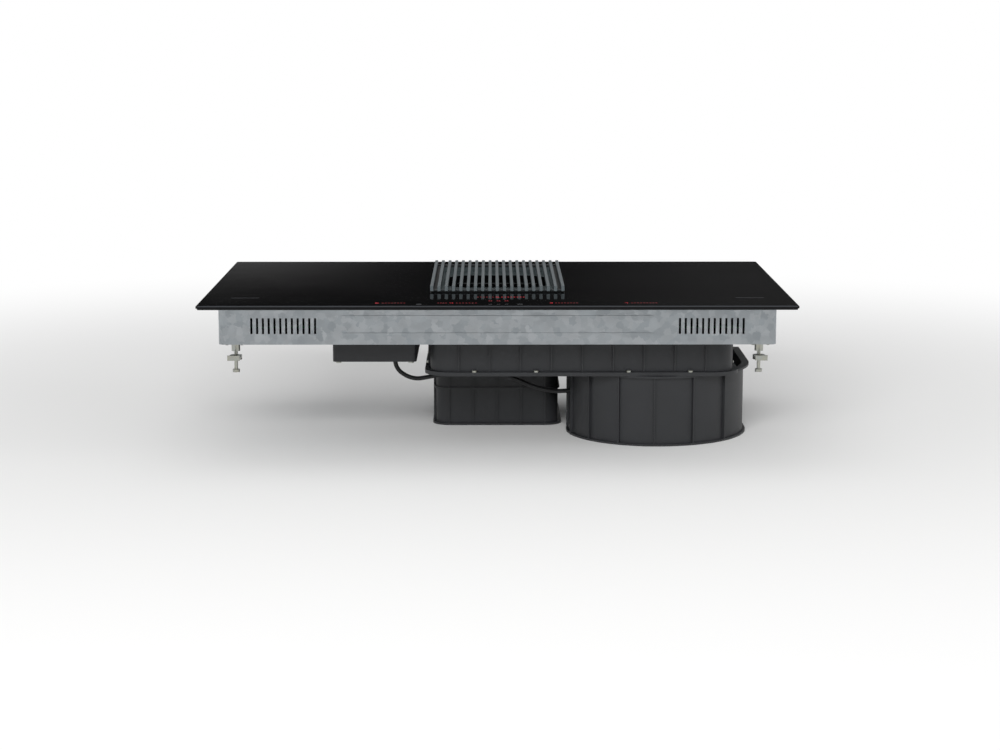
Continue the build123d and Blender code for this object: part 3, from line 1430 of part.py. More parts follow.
def housing_screws():
    """Pan-head screws: round the air box rim, and in the fan control box lid."""
    screws = []
    rim_top = deck_top_z + rim_thick
    for x, y in box_screw_spots():
        head = rod(screw_head_radius, screw_head_height, x, y, rim_top)
        screws.append(head.cut(screw_slot(x, y, rim_top + screw_head_height - screw_slot_depth)))
    low_z = control_under_z - screw_head_height
    for sx in (-1, 1):
        for sy in (-1, 1):
            x = control_x + sx * (control_width / 2 - control_screw_inset)
            y = control_y + sy * (control_depth / 2 - control_screw_inset)
            screws.append(rod(screw_head_radius, screw_head_height, x, y, low_z).cut(screw_slot(x, y, low_z)))
    return group(screws)


# ------------------------------------------------------------------------- all the nodes
def all_nodes():
    """Every sub-part by its node name."""
    nodes = {
        "glass_top": glass_top(),
        "worktop_seal": worktop_seal(),
        "glass_bond": glass_bond(),
        "vent_grille": vent_grille(),
        "grille_pads": grille_pads(),
        "vent_collar": vent_collar(),
        "filter_basket": filter_basket(),
        "filter_mesh": filter_mesh(),
        "filter_handle": filter_handle(),
        "air_shaft": air_shaft(),
        "hob_pan": hob_pan(),
        "coil_carriers": coil_carriers(),
        "ferrite_bars": ferrite_bars(),
        "coil_sensors": coil_sensors(),
        "mica_sheets": mica_sheets(),
        "coil_rails": coil_rails(),
        "coil_cushions": coil_cushions(),
        "power_board_left": power_board(-1),
        "power_board_right": power_board(1),
        "heatsinks": heatsinks(),
        "board_parts": board_parts(),
        "fan_frames": fan_frames(),
        "fan_rotor_left": fan_rotor(-1),
        "fan_rotor_right": fan_rotor(1),
        "touch_board": touch_board(),
        "touch_holder": touch_holder(),
        "light_guides": light_guides(),
        "air_box_upper": air_box_upper(),
        "air_box_lower": air_box_lower(),
        "box_gasket": box_gasket(),
        "inlet_ring": inlet_ring(),
        "scroll_tub": scroll_tub(),
        "impeller": impeller(),
        "motor_rotor": motor_rotor(),
        "motor_shaft": motor_shaft(),
        "motor_base": motor_base(),
        "motor_bearings": motor_bearings(),
        "motor_stator": motor_stator(),
        "outlet_spigot": outlet_spigot(),
        "damper_flap_upper": damper_flap(1),
        "damper_flap_lower": damper_flap(-1),
        "drip_tray": drip_tray(),
        "terminal_box": terminal_box(),
        "terminal_lid": terminal_lid(),
        "terminal_block": terminal_block(),
        "cable_gland": cable_gland(),
        "control_box": control_box(),
        "control_lid": control_lid(),
        "fan_cable": fan_cable(),
        "clamp_brackets": clamp_brackets(),
        "clamp_screws": clamp_screws(),
        "housing_screws": housing_screws(),
    }
    for name, (x, y) in zip(("front_left", "front_right", "rear_left", "rear_right"), coil_centres()):
        nodes["coil_" + name] = coil(x, y)
    for name, x, y in clamp_spots():
        nodes["clamp_arm_" + name] = clamp_arm(x, y)
    return nodes


def main():
    """Writes one STEP file for each node."""
    os.makedirs("parts", exist_ok=True)
    for name, shape in all_nodes().items():
        export_step(shape, os.path.join("parts", name + ".step"))


main()
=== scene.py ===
from math import pi, radians

import bpy
from mathutils import Matrix, Vector


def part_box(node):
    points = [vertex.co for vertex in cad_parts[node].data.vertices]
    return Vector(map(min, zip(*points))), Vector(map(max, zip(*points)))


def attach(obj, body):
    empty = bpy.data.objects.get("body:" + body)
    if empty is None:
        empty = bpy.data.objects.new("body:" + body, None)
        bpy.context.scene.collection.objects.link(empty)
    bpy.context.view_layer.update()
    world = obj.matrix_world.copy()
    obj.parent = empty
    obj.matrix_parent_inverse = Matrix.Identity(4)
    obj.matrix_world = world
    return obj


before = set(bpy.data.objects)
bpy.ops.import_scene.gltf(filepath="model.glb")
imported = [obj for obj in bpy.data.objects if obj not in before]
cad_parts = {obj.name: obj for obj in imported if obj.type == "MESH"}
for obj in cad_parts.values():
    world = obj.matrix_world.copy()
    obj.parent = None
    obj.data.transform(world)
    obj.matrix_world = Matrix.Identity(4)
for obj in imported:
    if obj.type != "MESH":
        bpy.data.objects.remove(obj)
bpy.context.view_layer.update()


# ================================================================ glass plate
# One sheet of black glass-ceramic, 4 mm thick, rolled, polished and ceramised. Its upper edge is
# ground to a 1.5 mm bevel, which catches the light as a thin grey line. It lies on the worktop
# and everything else hangs under it.
glass_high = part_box("glass_top")[1]
bevel_width = 0.0015
bevel_gap_out, bevel_gap_down = 0.00002, 0.0001
bevel_dullness = 0.33


def linear(hex_colour):
    """An sRGB hex colour as the linear values that a shader takes."""
    channels = [int(hex_colour[i:i + 2], 16) / 255 for i in (1, 3, 5)]
    return tuple(c / 12.92 if c <= 0.04045 else ((c + 0.055) / 1.055) ** 2.4
                 for c in channels) + (1.0,)


def add_node(tree, kind, settings=None, values=None, links=None):
    """Adds one shader node: its settings, its own socket values, and the sockets that feed it."""
    node = tree.nodes.new(kind)
    for name, value in (settings or {}).items():
        setattr(node, name, value)
    for name, value in (values or {}).items():
        node.inputs[name].default_value = value
    for name, socket in (links or {}).items():
        tree.links.new(socket, node.inputs[name])
    return node


def new_finish(name, colour, roughness, metallic=0.0):
    """A material with its steady values on the shader, and the piece's coordinates in metres."""
    finish = bpy.data.materials.new(name)
    finish.use_nodes = True
    tree = finish.node_tree
    shader = tree.nodes["Principled BSDF"]
    shader.inputs["Base Color"].default_value = linear(colour)
    shader.inputs["Roughness"].default_value = roughness
    shader.inputs["Metallic"].default_value = metallic
    place = add_node(tree, "ShaderNodeTexCoord").outputs["Object"]
    return finish, tree, shader, place


def feed(tree, shader, **sockets):
    """Links what varies over the surface to the shader's sockets, such as Base_Color or Normal."""
    for name, socket in sockets.items():
        tree.links.new(socket, shader.inputs[name.replace("_", " ")])


def dress(finish, *nodes):
    """Gives CAD nodes a finish."""
    for node in nodes:
        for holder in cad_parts[node].material_slots:
            holder.material = finish


def per_mm(size):
    """Scale of a pattern whose features are this many millimetres across."""
    return 1000.0 / size


# Black glass-ceramic: a deep black body under a mirror polish that is a little smeared over
# 90 mm, with a hardly visible orange peel from rolling. The ground bevel is satin and grey: it
# starts one gap outside the bevel's inner line and ends one gap below its lower line.
glass_black, tree, shader, place = new_finish("black_glass_ceramic", "#0A0A0B", 0.05)
shader.inputs["Specular IOR Level"].default_value = 0.1
axes = add_node(tree, "ShaderNodeSeparateXYZ", links={"Vector": place})
out_x = add_node(tree, "ShaderNodeMath", {"operation": "ABSOLUTE"}, links={0: axes.outputs["X"]})
out_y = add_node(tree, "ShaderNodeMath", {"operation": "ABSOLUTE"}, links={0: axes.outputs["Y"]})
past_x = add_node(tree, "ShaderNodeMath", {"operation": "SUBTRACT"},
                  {1: glass_high.x - bevel_width}, {0: out_x.outputs[0]})
past_y = add_node(tree, "ShaderNodeMath", {"operation": "SUBTRACT"},
                  {1: glass_high.y - bevel_width}, {0: out_y.outputs[0]})
past = add_node(tree, "ShaderNodeMath", {"operation": "MAXIMUM"},
                links={0: past_x.outputs[0], 1: past_y.outputs[0]})
outside = add_node(tree, "ShaderNodeMath", {"operation": "GREATER_THAN"}, {1: bevel_gap_out},
                   {0: past.outputs[0]})
upper = add_node(tree, "ShaderNodeMath", {"operation": "GREATER_THAN"},
                 {1: glass_high.z - bevel_width - bevel_gap_down}, {0: axes.outputs["Z"]})
ground = add_node(tree, "ShaderNodeMath", {"operation": "MULTIPLY"},
                  links={0: outside.outputs[0], 1: upper.outputs[0]})
edge_tone = add_node(tree, "ShaderNodeMixRGB",
                     values={"Color1": linear("#0A0A0B"), "Color2": linear("#2F3134")},
                     links={"Fac": ground.outputs[0]})
smear = add_node(tree, "ShaderNodeTexNoise", values={"Scale": per_mm(90), "Detail": 3.0},
                 links={"Vector": place})
polish = add_node(tree, "ShaderNodeMapRange", values={"To Min": 0.035, "To Max": 0.075},
                  links={"Value": smear.outputs["Fac"]})
edge_rough = add_node(tree, "ShaderNodeMath", {"operation": "MULTIPLY_ADD"}, {1: bevel_dullness},
                      {0: ground.outputs[0], 2: polish.outputs["Result"]})
peel = add_node(tree, "ShaderNodeTexNoise", values={"Scale": per_mm(40), "Detail": 1.0},
                links={"Vector": place})
peel_bump = add_node(tree, "ShaderNodeBump", values={"Strength": 0.02, "Distance": 0.001},
                     links={"Height": peel.outputs["Fac"]})
feed(tree, shader, Base_Color=edge_tone.outputs["Color"], Roughness=edge_rough.outputs[0],
     Normal=peel_bump.outputs["Normal"])
dress(glass_black, "glass_top")


# ============================================================ lit touch fields
# Red lamps under the glass show through it where the cook touches: for each of the four zones
# a figure and a row of bars to slide along, the same for the fan behind them, and three timer
# figures in the middle. They are films a few hundredths of a millimetre thick on the glass.
guides_low, guides_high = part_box("light_guides")
film_thick = 0.00005
film_sunk = film_thick / 2
corner_share = 0.3
bar_width, bar_depth, bar_pitch = 0.0022, 0.0042, 0.0042
stroke_length, stroke_width, stroke_gap = 0.0036, 0.0011, 0.00005
zone_row_in, fan_row_in = 0.0015, 0.0030
zone_row_y = guides_low.y + zone_row_in
fan_row_y = guides_high.y - fan_row_in
timer_row_y = -0.2060
timer_x = (-0.0100, 0.0013, 0.0125)
zone_figures = ((6, -0.1670), (4, -0.0640), (3, 0.0740), (7, 0.1780))
zone_rows = ((-0.1590, -0.1290), (-0.0820, -0.0715), (-0.0565, -0.0300), (0.0810, 0.1100),
             (0.1860, 0.2200))
fan_idle_row = (-0.0275, -0.0065)
fan_lit_row = (0.0065, 0.0370)
# Lit strokes of a figure: top, two upper sides, middle, two lower sides, bottom.
strokes = {0: "1110111", 3: "1011011", 4: "0111010", 5: "1101011", 6: "1101111", 7: "1010010"}


def raise_film():
    """Raises the flat shape in edit mode a film's thickness out of the glass, and closes it."""
    bpy.ops.mesh.select_all(action="SELECT")
    rise = (0, 0, film_sunk + film_thick)
    bpy.ops.mesh.extrude_region_move(TRANSFORM_OT_translate={"value": rise})
    bpy.ops.mesh.select_all(action="SELECT")
    bpy.ops.mesh.normals_make_consistent(inside=False)
    bpy.ops.object.mode_set(mode="OBJECT")


def film_bar(name, width, depth):
    """A flat bar with rounded corners that stands a film's thickness out of the glass."""
    bpy.ops.object.select_all(action="DESELECT")
    bpy.ops.mesh.primitive_plane_add(size=1.0, location=(0, 0, glass_high.z - film_sunk))
    bar = bpy.context.object
    bar.name = name
    bar.scale = (width, depth, 1.0)
    bpy.ops.object.transform_apply(location=True, rotation=True, scale=True)
    bpy.ops.object.mode_set(mode="EDIT")
    bpy.ops.mesh.select_all(action="SELECT")
    bpy.ops.mesh.bevel(offset=min(width, depth) * corner_share, segments=2, affect="VERTICES")
    raise_film()
    return bar


def copy_at(master, x, y):
    """A copy with its own mesh, moved within that mesh."""
    twin = master.copy()
    twin.data = master.data.copy()
    twin.data.transform(Matrix.Translation((x, y, 0.0)))
    bpy.context.scene.collection.objects.link(twin)
    return twin


def join_as(name, pieces, finish, body):
    """Joins copies into one piece, dresses it, and lets it ride on its body."""
    bpy.ops.object.select_all(action="DESELECT")
    for piece in pieces:
        piece.select_set(True)
    bpy.context.view_layer.objects.active = pieces[0]
    bpy.ops.object.join()
    whole = bpy.context.view_layer.objects.active
    whole.name = name
    whole.data.name = name
    whole.data.materials.append(finish)
    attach(whole, body)


slide_bar = film_bar("slide_bar", bar_width, bar_depth)
across = film_bar("across", stroke_length, stroke_width)
upright = film_bar("upright", stroke_width, stroke_length)


def figure(number, x, y):
    """The lit strokes of one figure, 4.7 mm wide and 8.4 mm deep."""
    half = (stroke_length + stroke_gap) / 2
    places = [(across, 0, 2), (upright, -1, 1), (upright, 1, 1), (across, 0, 0), (upright, -1, -1),
              (upright, 1, -1), (across, 0, -2)]
    return [copy_at(stroke, x + side * half, y + step * half)
            for (stroke, side, step), lit in zip(places, strokes[number]) if lit == "1"]


def row(ends, y):
    """The bars of a slider, evenly spaced between its ends."""
    first, last = ends
    count = round((last - first) / bar_pitch) + 1
    return [copy_at(slide_bar, first + i * (last - first) / (count - 1), y) for i in range(count)]


def lamp_red(name, colour, strength, unlit="#2A080C"):
    """Red lamp light through dark glass: saturated, and uneven over 3 mm from the diffuser."""
    finish, tree, shader, place = new_finish(name, unlit, 0.25)
    glow = add_node(tree, "ShaderNodeTexNoise", values={"Scale": per_mm(3), "Detail": 1.0},
                    links={"Vector": place})
    share = add_node(tree, "ShaderNodeMapRange", values={"To Max": 0.25},
                     links={"Value": glow.outputs["Fac"]})
    hue = add_node(tree, "ShaderNodeMixRGB",
                   values={"Color1": linear(colour), "Color2": linear("#FF4A3C")},
                   links={"Fac": share.outputs["Result"]})
    feed(tree, shader, Emission_Color=hue.outputs["Color"])
    shader.inputs["Emission Strength"].default_value = strength
    return finish


lamp_bright = lamp_red("red_lamp_chosen", "#E01A38", 0.65)
lamp_idle = lamp_red("red_lamp_idle", "#C81634", 0.3)
figures = [stroke for number, x in zone_figures for stroke in figure(number, x, zone_row_y)]
figures += figure(5, 0.0, fan_row_y)
timer = [stroke for x in timer_x for stroke in figure(0, x, timer_row_y)]
idle_bars = [bar for ends in zone_rows for bar in row(ends, zone_row_y)]
idle_bars += row(fan_idle_row, fan_row_y)
join_as("lit_figures", figures, lamp_bright, "hob")
join_as("lit_fan_bars", row(fan_lit_row, fan_row_y), lamp_bright, "hob")
join_as("timer_figures", timer, lamp_idle, "hob")
join_as("idle_bars", idle_bars, lamp_idle, "hob")


# ============================================================== printed marks
# Grey enamel, screen-printed on the glass and fired in: a thin line at each side that marks the
# front zones, and small key symbols along the front edge, below the timer.
zone_line_x, zone_line_y = 0.3550, -0.1750
key_row_y, key_stem_up = -0.2400, 0.0022
ring_key_x = (-0.1085, 0.0310)
ring_radius, ring_width = 0.0036, 0.0008
zone_line = film_bar("zone_line", 0.0400, 0.0009)
key_dash = film_bar("key_dash", 0.0052, 0.0014)
key_stem = film_bar("key_stem", 0.0010, 0.0044)


def key_ring(x, y):
    """The ring of a key symbol, from a circle whose face is inset and emptied."""
    bpy.ops.object.select_all(action="DESELECT")
    bpy.ops.mesh.primitive_circle_add(vertices=32, radius=ring_radius, fill_type="NGON",
                                      location=(x, y, glass_high.z - film_sunk))
    ring = bpy.context.object
    bpy.ops.object.transform_apply(location=True, rotation=True, scale=True)
    bpy.ops.object.mode_set(mode="EDIT")
    bpy.ops.mesh.select_all(action="SELECT")
    bpy.ops.mesh.inset(thickness=ring_width)
    bpy.ops.mesh.delete(type="ONLY_FACE")
    raise_film()
    return ring


# Fired grey enamel: flat grey, broken by the dots of the screen it was printed with.
enamel_grey, tree, shader, place = new_finish("fired_grey_enamel", "#56585B", 0.3)
dots = add_node(tree, "ShaderNodeTexNoise", values={"Scale": per_mm(0.5), "Detail": 2.0},
                links={"Vector": place})
print_tone = add_node(tree, "ShaderNodeMixRGB",
                      values={"Color1": linear("#484A4E"), "Color2": linear("#64666A")},
                      links={"Fac": dots.outputs["Fac"]})
feed(tree, shader, Base_Color=print_tone.outputs["Color"])
marks = [copy_at(zone_line, side * zone_line_x, zone_line_y) for side in (-1, 1)]
marks += [copy_at(key_dash, x, key_row_y) for x in timer_x]
for x in ring_key_x:
    marks += [key_ring(x, key_row_y), copy_at(key_stem, x, key_row_y + key_stem_up)]
join_as("printed_marks", marks, enamel_grey, "hob")
for master in (slide_bar, across, upright, zone_line, key_dash, key_stem):
    bpy.data.objects.remove(master)


# ================================================= worktop seal and box gasket
# Strips of closed-cell foam tape. One under the glass edge keeps spills off the worktop's cut
# edge, and one between the two shells of the air box keeps it airtight.

# Closed-cell foam: dull black with skin pores of about 0.6 mm, drawn at 1 mm so that they show.
# Each pore darkens towards its middle: painted shade in the pore.
foam_black, tree, shader, place = new_finish("closed_cell_foam_tape", "#161617", 0.9)
pores = add_node(tree, "ShaderNodeTexVoronoi", values={"Scale": per_mm(1.0)},
                 links={"Vector": place})
pore_shade_tone = add_node(tree, "ShaderNodeMixRGB",
                     values={"Color1": linear("#0E0E0F"), "Color2": linear("#222324")},
                     links={"Fac": pores.outputs["Distance"]})
pore_bump = add_node(tree, "ShaderNodeBump", values={"Strength": 0.5, "Distance": 0.0003},
                     links={"Height": pores.outputs["Distance"]})
feed(tree, shader, Base_Color=pore_shade_tone.outputs["Color"], Normal=pore_bump.outputs["Normal"])
dress(foam_black, "worktop_seal", "box_gasket")


# ============================================================ silicone bead
# A bead of black silicone, laid by a nozzle on the pan's lip, glues the glass to the pan. It
# stays soft, so that the hot glass can grow.
def soft_rubber(name, colour, roughness, ripple_mm):
    """Silicone or soft PVC: satin, with a slow ripple from the nozzle or the mould."""
    finish, tree, shader, place = new_finish(name, colour, roughness)
    shader.inputs["IOR"].default_value = 1.42
    ripple = add_node(tree, "ShaderNodeTexNoise",
                      values={"Scale": per_mm(ripple_mm), "Detail": 2.0}, links={"Vector": place})
    satin = add_node(tree, "ShaderNodeMapRange",
                     values={"To Min": roughness - 0.08, "To Max": roughness + 0.08},
                     links={"Value": ripple.outputs["Fac"]})
    bump = add_node(tree, "ShaderNodeBump", values={"Strength": 0.25, "Distance": 0.0002},
                    links={"Height": ripple.outputs["Fac"]})
    feed(tree, shader, Roughness=satin.outputs["Result"], Normal=bump.outputs["Normal"])
    return finish


dress(soft_rubber("black_silicone_bead", "#1A1A1B", 0.45, 6), "glass_bond")


# =============================================================== intake grille
# Die-cast aluminium grille, powder coated in a satin grey with metal flakes: 19 slats from front
# to back on two scalloped end rails. It lies loose on the collar's lip, on four silicone pads,
# and lifts off in one piece to reach the filter.

# Powder coat: grey with a faint blue-green cast and a soft sheen from the flakes in it; its grain
# of 0.3 mm is drawn at 0.5 mm. Between the slats the rails are painted a dark grey: painted shade
# of the recess behind and between the slats.
slat_pitch, slat_width, slat_margin = 0.01044, 0.0045, 0.0001
powder_coat, tree, shader, place = new_finish("grey_metallic_powder_coat", "#5D6467", 0.4, 0.3)
grain = add_node(tree, "ShaderNodeTexNoise", values={"Scale": per_mm(0.5), "Detail": 3.0},
                 links={"Vector": place})
cloud = add_node(tree, "ShaderNodeTexNoise", values={"Scale": per_mm(45), "Detail": 2.0},
                 links={"Vector": place})
coat_tone = add_node(tree, "ShaderNodeMixRGB",
                     values={"Color1": linear("#51585B"), "Color2": linear("#697174")},
                     links={"Fac": grain.outputs["Fac"]})
across_slats = add_node(tree, "ShaderNodeSeparateXYZ", links={"Vector": place})
off_slat = add_node(tree, "ShaderNodeMath", {"operation": "PINGPONG"}, {1: slat_pitch / 2},
                    {0: across_slats.outputs["X"]})
# Between the slats the coat turns dark grey: painted shade on the recessed rails.
slat_gap_shade_mask = add_node(tree, "ShaderNodeMath", {"operation": "GREATER_THAN"},
                  {1: slat_width / 2 + slat_margin}, {0: off_slat.outputs[0]})
painted_shade_between_slats = add_node(tree, "ShaderNodeMixRGB", values={"Color2": linear("#303437")},
                       links={"Fac": slat_gap_shade_mask.outputs[0], "Color1": coat_tone.outputs["Color"]})
coat_rough = add_node(tree, "ShaderNodeMapRange", values={"To Min": 0.34, "To Max": 0.48},
                      links={"Value": cloud.outputs["Fac"]})
coat_bump = add_node(tree, "ShaderNodeBump", values={"Strength": 0.3, "Distance": 0.0001},
                     links={"Height": grain.outputs["Fac"]})
feed(tree, shader, Base_Color=painted_shade_between_slats.outputs["Color"], Roughness=coat_rough.outputs["Result"],
     Normal=coat_bump.outputs["Normal"])
dress(powder_coat, "vent_grille")
dress(soft_rubber("smoked_silicone_pad", "#3A3B3C", 0.35, 2), "grille_pads")


# ============================================================== intake collar
# Collar of pressed steel that lines the cut-out: a lip on the glass, a straight wall, and a
# floor that slopes to a round-cornered neck, where the grease filter hangs on a ledge. The well
# is coated satin grey-green; the lip and the neck below the floor are painted near black: painted
# shade of the lip under the grille's slats and of the deep neck.
well_low_z, well_high_z = 0.2053, 0.2170
# Stoved enamel: satin and smooth, with a very soft 8 mm waviness from the pressing.
collar_enamel, tree, shader, place = new_finish("satin_stoved_enamel", "#5E686A", 0.38)
shader.inputs["Specular IOR Level"].default_value = 0.15
wave = add_node(tree, "ShaderNodeTexNoise", values={"Scale": per_mm(8), "Detail": 2.0},
                links={"Vector": place})
enamel_rough = add_node(tree, "ShaderNodeMapRange", values={"To Min": 0.32, "To Max": 0.46},
                        links={"Value": wave.outputs["Fac"]})
enamel_tone = add_node(tree, "ShaderNodeMixRGB",
                       values={"Color1": linear("#586264"), "Color2": linear("#667072")},
                       links={"Fac": wave.outputs["Fac"]})
enamel_bump = add_node(tree, "ShaderNodeBump", values={"Strength": 0.05, "Distance": 0.0005},
                       links={"Height": wave.outputs["Fac"]})
height = add_node(tree, "ShaderNodeSeparateXYZ", links={"Vector": place})
# Above and below the well's heights the colour is near black: painted shade under the grille and
# down the neck.
in_well = add_node(tree, "ShaderNodeMath", {"operation": "COMPARE"},
                   {1: (well_low_z + well_high_z) / 2, 2: (well_high_z - well_low_z) / 2},
                   {0: height.outputs["Z"]})
enamel_and_painted_shade = add_node(tree, "ShaderNodeMixRGB", values={"Color1": linear("#0E0F10")},
                 links={"Fac": in_well.outputs[0], "Color2": enamel_tone.outputs["Color"]})
feed(tree, shader, Base_Color=enamel_and_painted_shade.outputs["Color"], Roughness=enamel_rough.outputs["Result"],
     Normal=enamel_bump.outputs["Normal"])
dress(collar_enamel, "vent_collar")


# ======================================================= filter basket and strap
# Deep-drawn steel basket with punched windows and a spot-welded strap to lift it by, both
# enamelled black so that nothing shines up through the grille.

# Vitreous enamel: glossy black, with a slight 3 mm orange peel where it ran before firing.
black_enamel, tree, shader, place = new_finish("black_vitreous_enamel", "#0C0C0D", 0.25)
run = add_node(tree, "ShaderNodeTexNoise", values={"Scale": per_mm(3), "Detail": 2.0},
               links={"Vector": place})
run_rough = add_node(tree, "ShaderNodeMapRange", values={"To Min": 0.18, "To Max": 0.32},
                     links={"Value": run.outputs["Fac"]})
run_bump = add_node(tree, "ShaderNodeBump", values={"Strength": 0.15, "Distance": 0.0002},
                    links={"Height": run.outputs["Fac"]})
feed(tree, shader, Roughness=run_rough.outputs["Result"], Normal=run_bump.outputs["Normal"])
dress(black_enamel, "filter_basket", "filter_handle")


# ================================================================ filter mesh
# Sleeve of woven aluminium wire behind the basket's windows, anodised dark; it catches the
# grease while the air goes through.
def wave_per_mm(size):
    """Scale of a Wave texture whose bands are this many millimetres apart."""
    return 2 * pi * per_mm(size) / 20


# Woven wire: 1.2 mm squares, drawn at 2 mm so that they show; the gaps between the wires are
# painted darker: painted shade in the gaps.
mesh_metal, tree, shader, place = new_finish("anodised_aluminium_mesh", "#2E2F30", 0.5, 1.0)
rings = add_node(tree, "ShaderNodeTexWave", {"bands_direction": "Z"}, {"Scale": wave_per_mm(2)},
                 {"Vector": place})
slants = add_node(tree, "ShaderNodeTexWave", {"bands_direction": "DIAGONAL"},
                  {"Scale": wave_per_mm(2)}, {"Vector": place})
weave = add_node(tree, "ShaderNodeMath", {"operation": "MAXIMUM"},
                 links={0: rings.outputs["Fac"], 1: slants.outputs["Fac"]})
wires_and_gap_shade = add_node(tree, "ShaderNodeMixRGB",
                     values={"Color1": linear("#0E0E0F"), "Color2": linear("#3C3E40")},
                     links={"Fac": weave.outputs[0]})
mesh_bump = add_node(tree, "ShaderNodeBump", values={"Strength": 0.6, "Distance": 0.0004},
                     links={"Height": weave.outputs[0]})
feed(tree, shader, Base_Color=wires_and_gap_shade.outputs["Color"], Normal=mesh_bump.outputs["Normal"])
dress(mesh_metal, "filter_mesh")


# ================================================================= hob pan
# Folded tray of galvanised sheet, 1.2 mm thick, that closes the hob from below. Slots in its
# walls and under the board fans let cooling air in, and two pressed beads stiffen its front.

# Hot-dip galvanised sheet: zinc crystals, called spangle, about 9 mm across, each with its own
# tone and dullness, with feathered edges and a fine grain inside.
galvanised, tree, shader, place = new_finish("galvanised_sheet", "#A4A9AC", 0.42, 1.0)
frost = add_node(tree, "ShaderNodeTexNoise", values={"Scale": per_mm(4), "Detail": 4.0},
                 links={"Vector": place})
feather = 0.008
feathered = add_node(tree, "ShaderNodeVectorMath", {"operation": "MULTIPLY_ADD"},
                     {1: (feather, feather, feather)}, {0: frost.outputs["Color"], 2: place})
spangle = add_node(tree, "ShaderNodeTexVoronoi", values={"Scale": per_mm(9)},
                   links={"Vector": feathered.outputs["Vector"]})
crystal = add_node(tree, "ShaderNodeSeparateColor", links={"Color": spangle.outputs["Color"]})
zinc_tone = add_node(tree, "ShaderNodeMixRGB",
                     values={"Color1": linear("#9DA3A7"), "Color2": linear("#AFB3B6")},
                     links={"Fac": crystal.outputs["Red"]})
zinc_rough = add_node(tree, "ShaderNodeMapRange", values={"To Min": 0.36, "To Max": 0.54},
                      links={"Value": crystal.outputs["Green"]})
zinc_bump = add_node(tree, "ShaderNodeBump", values={"Strength": 0.12, "Distance": 0.0002},
                     links={"Height": frost.outputs["Fac"]})
feed(tree, shader, Base_Color=zinc_tone.outputs["Color"], Roughness=zinc_rough.outputs["Result"],
     Normal=zinc_bump.outputs["Normal"])
dress(galvanised, "hob_pan")


# ========================================================== induction coils
# Four flat coils, one under each zone, wound on their carriers from copper litz: hundreds of
# lacquered strands twisted together.

# Lacquered litz: warm copper turns 2.4 mm apart round each coil's eye, with painted shade in the
# grooves between them.
for coil in ("coil_front_left", "coil_front_right", "coil_rear_left", "coil_rear_right"):
    coil_low, coil_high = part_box(coil)
    litz, tree, shader, place = new_finish(f"copper_litz_{coil}", "#B4693F", 0.38, 1.0)
    centred = add_node(tree, "ShaderNodeVectorMath", {"operation": "SUBTRACT"},
                       {1: (coil_low + coil_high) / 2}, {0: place})
    turns = add_node(tree, "ShaderNodeTexWave", {"wave_type": "RINGS", "rings_direction": "Z"},
                     {"Scale": wave_per_mm(2.4)}, {"Vector": centred.outputs["Vector"]})
    copper_and_groove_shade = add_node(tree, "ShaderNodeMixRGB",
                         values={"Color1": linear("#5A2E1A"), "Color2": linear("#C0744A")},
                         links={"Fac": turns.outputs["Fac"]})
    litz_bump = add_node(tree, "ShaderNodeBump", values={"Strength": 0.7, "Distance": 0.0006},
                         links={"Height": turns.outputs["Fac"]})
    feed(tree, shader, Base_Color=copper_and_groove_shade.outputs["Color"], Normal=litz_bump.outputs["Normal"])
    dress(litz, coil)


# =============================================== coil carriers, rails, heatsinks
# Pressed aluminium discs carry the coils on two folded aluminium rails. The heatsinks of the
# two inverter boards are extruded from the same metal.
def shades(colour, darker, lighter, lift=0.0):
    """A darker and a lighter shade of an sRGB hex colour, as linear values."""
    plain = linear(colour)[:3]
    return (tuple(c * darker for c in plain) + (1.0,),
            tuple(min(1.0, c * lighter + lift) for c in plain) + (1.0,))


def brushed_metal(name, colour, roughness, line_mm, along="X", depth=0.15):
    """Rolled or drawn metal: fine lines that run one way, each a little duller or brighter."""
    finish, tree, shader, place = new_finish(name, colour, roughness, 1.0)
    stretch = {"X": (0.04, 1.0, 1.0), "Y": (1.0, 0.04, 1.0), "Z": (1.0, 1.0, 0.04)}[along]
    lines_at = add_node(tree, "ShaderNodeMapping", values={"Scale": stretch},
                        links={"Vector": place})
    lines = add_node(tree, "ShaderNodeTexNoise", values={"Scale": per_mm(line_mm), "Detail": 4.0},
                     links={"Vector": lines_at.outputs["Vector"]})
    dull = add_node(tree, "ShaderNodeMapRange",
                    values={"To Min": roughness - 0.1, "To Max": roughness + 0.12},
                    links={"Value": lines.outputs["Fac"]})
    dark, light = shades(colour, 0.82, 1.12)
    tone = add_node(tree, "ShaderNodeMixRGB", values={"Color1": dark, "Color2": light},
                    links={"Fac": lines.outputs["Fac"]})
    bump = add_node(tree, "ShaderNodeBump", values={"Strength": depth, "Distance": 0.0001},
                    links={"Height": lines.outputs["Fac"]})
    feed(tree, shader, Base_Color=tone.outputs["Color"], Roughness=dull.outputs["Result"],
         Normal=bump.outputs["Normal"])
    return finish


# Mill-finish aluminium: pale, with rolling lines drawn 1 mm apart.
dress(brushed_metal("mill_finish_aluminium", "#BFC2C4", 0.4, 1.0, along="Y"),
      "coil_carriers", "coil_rails", "heatsinks")


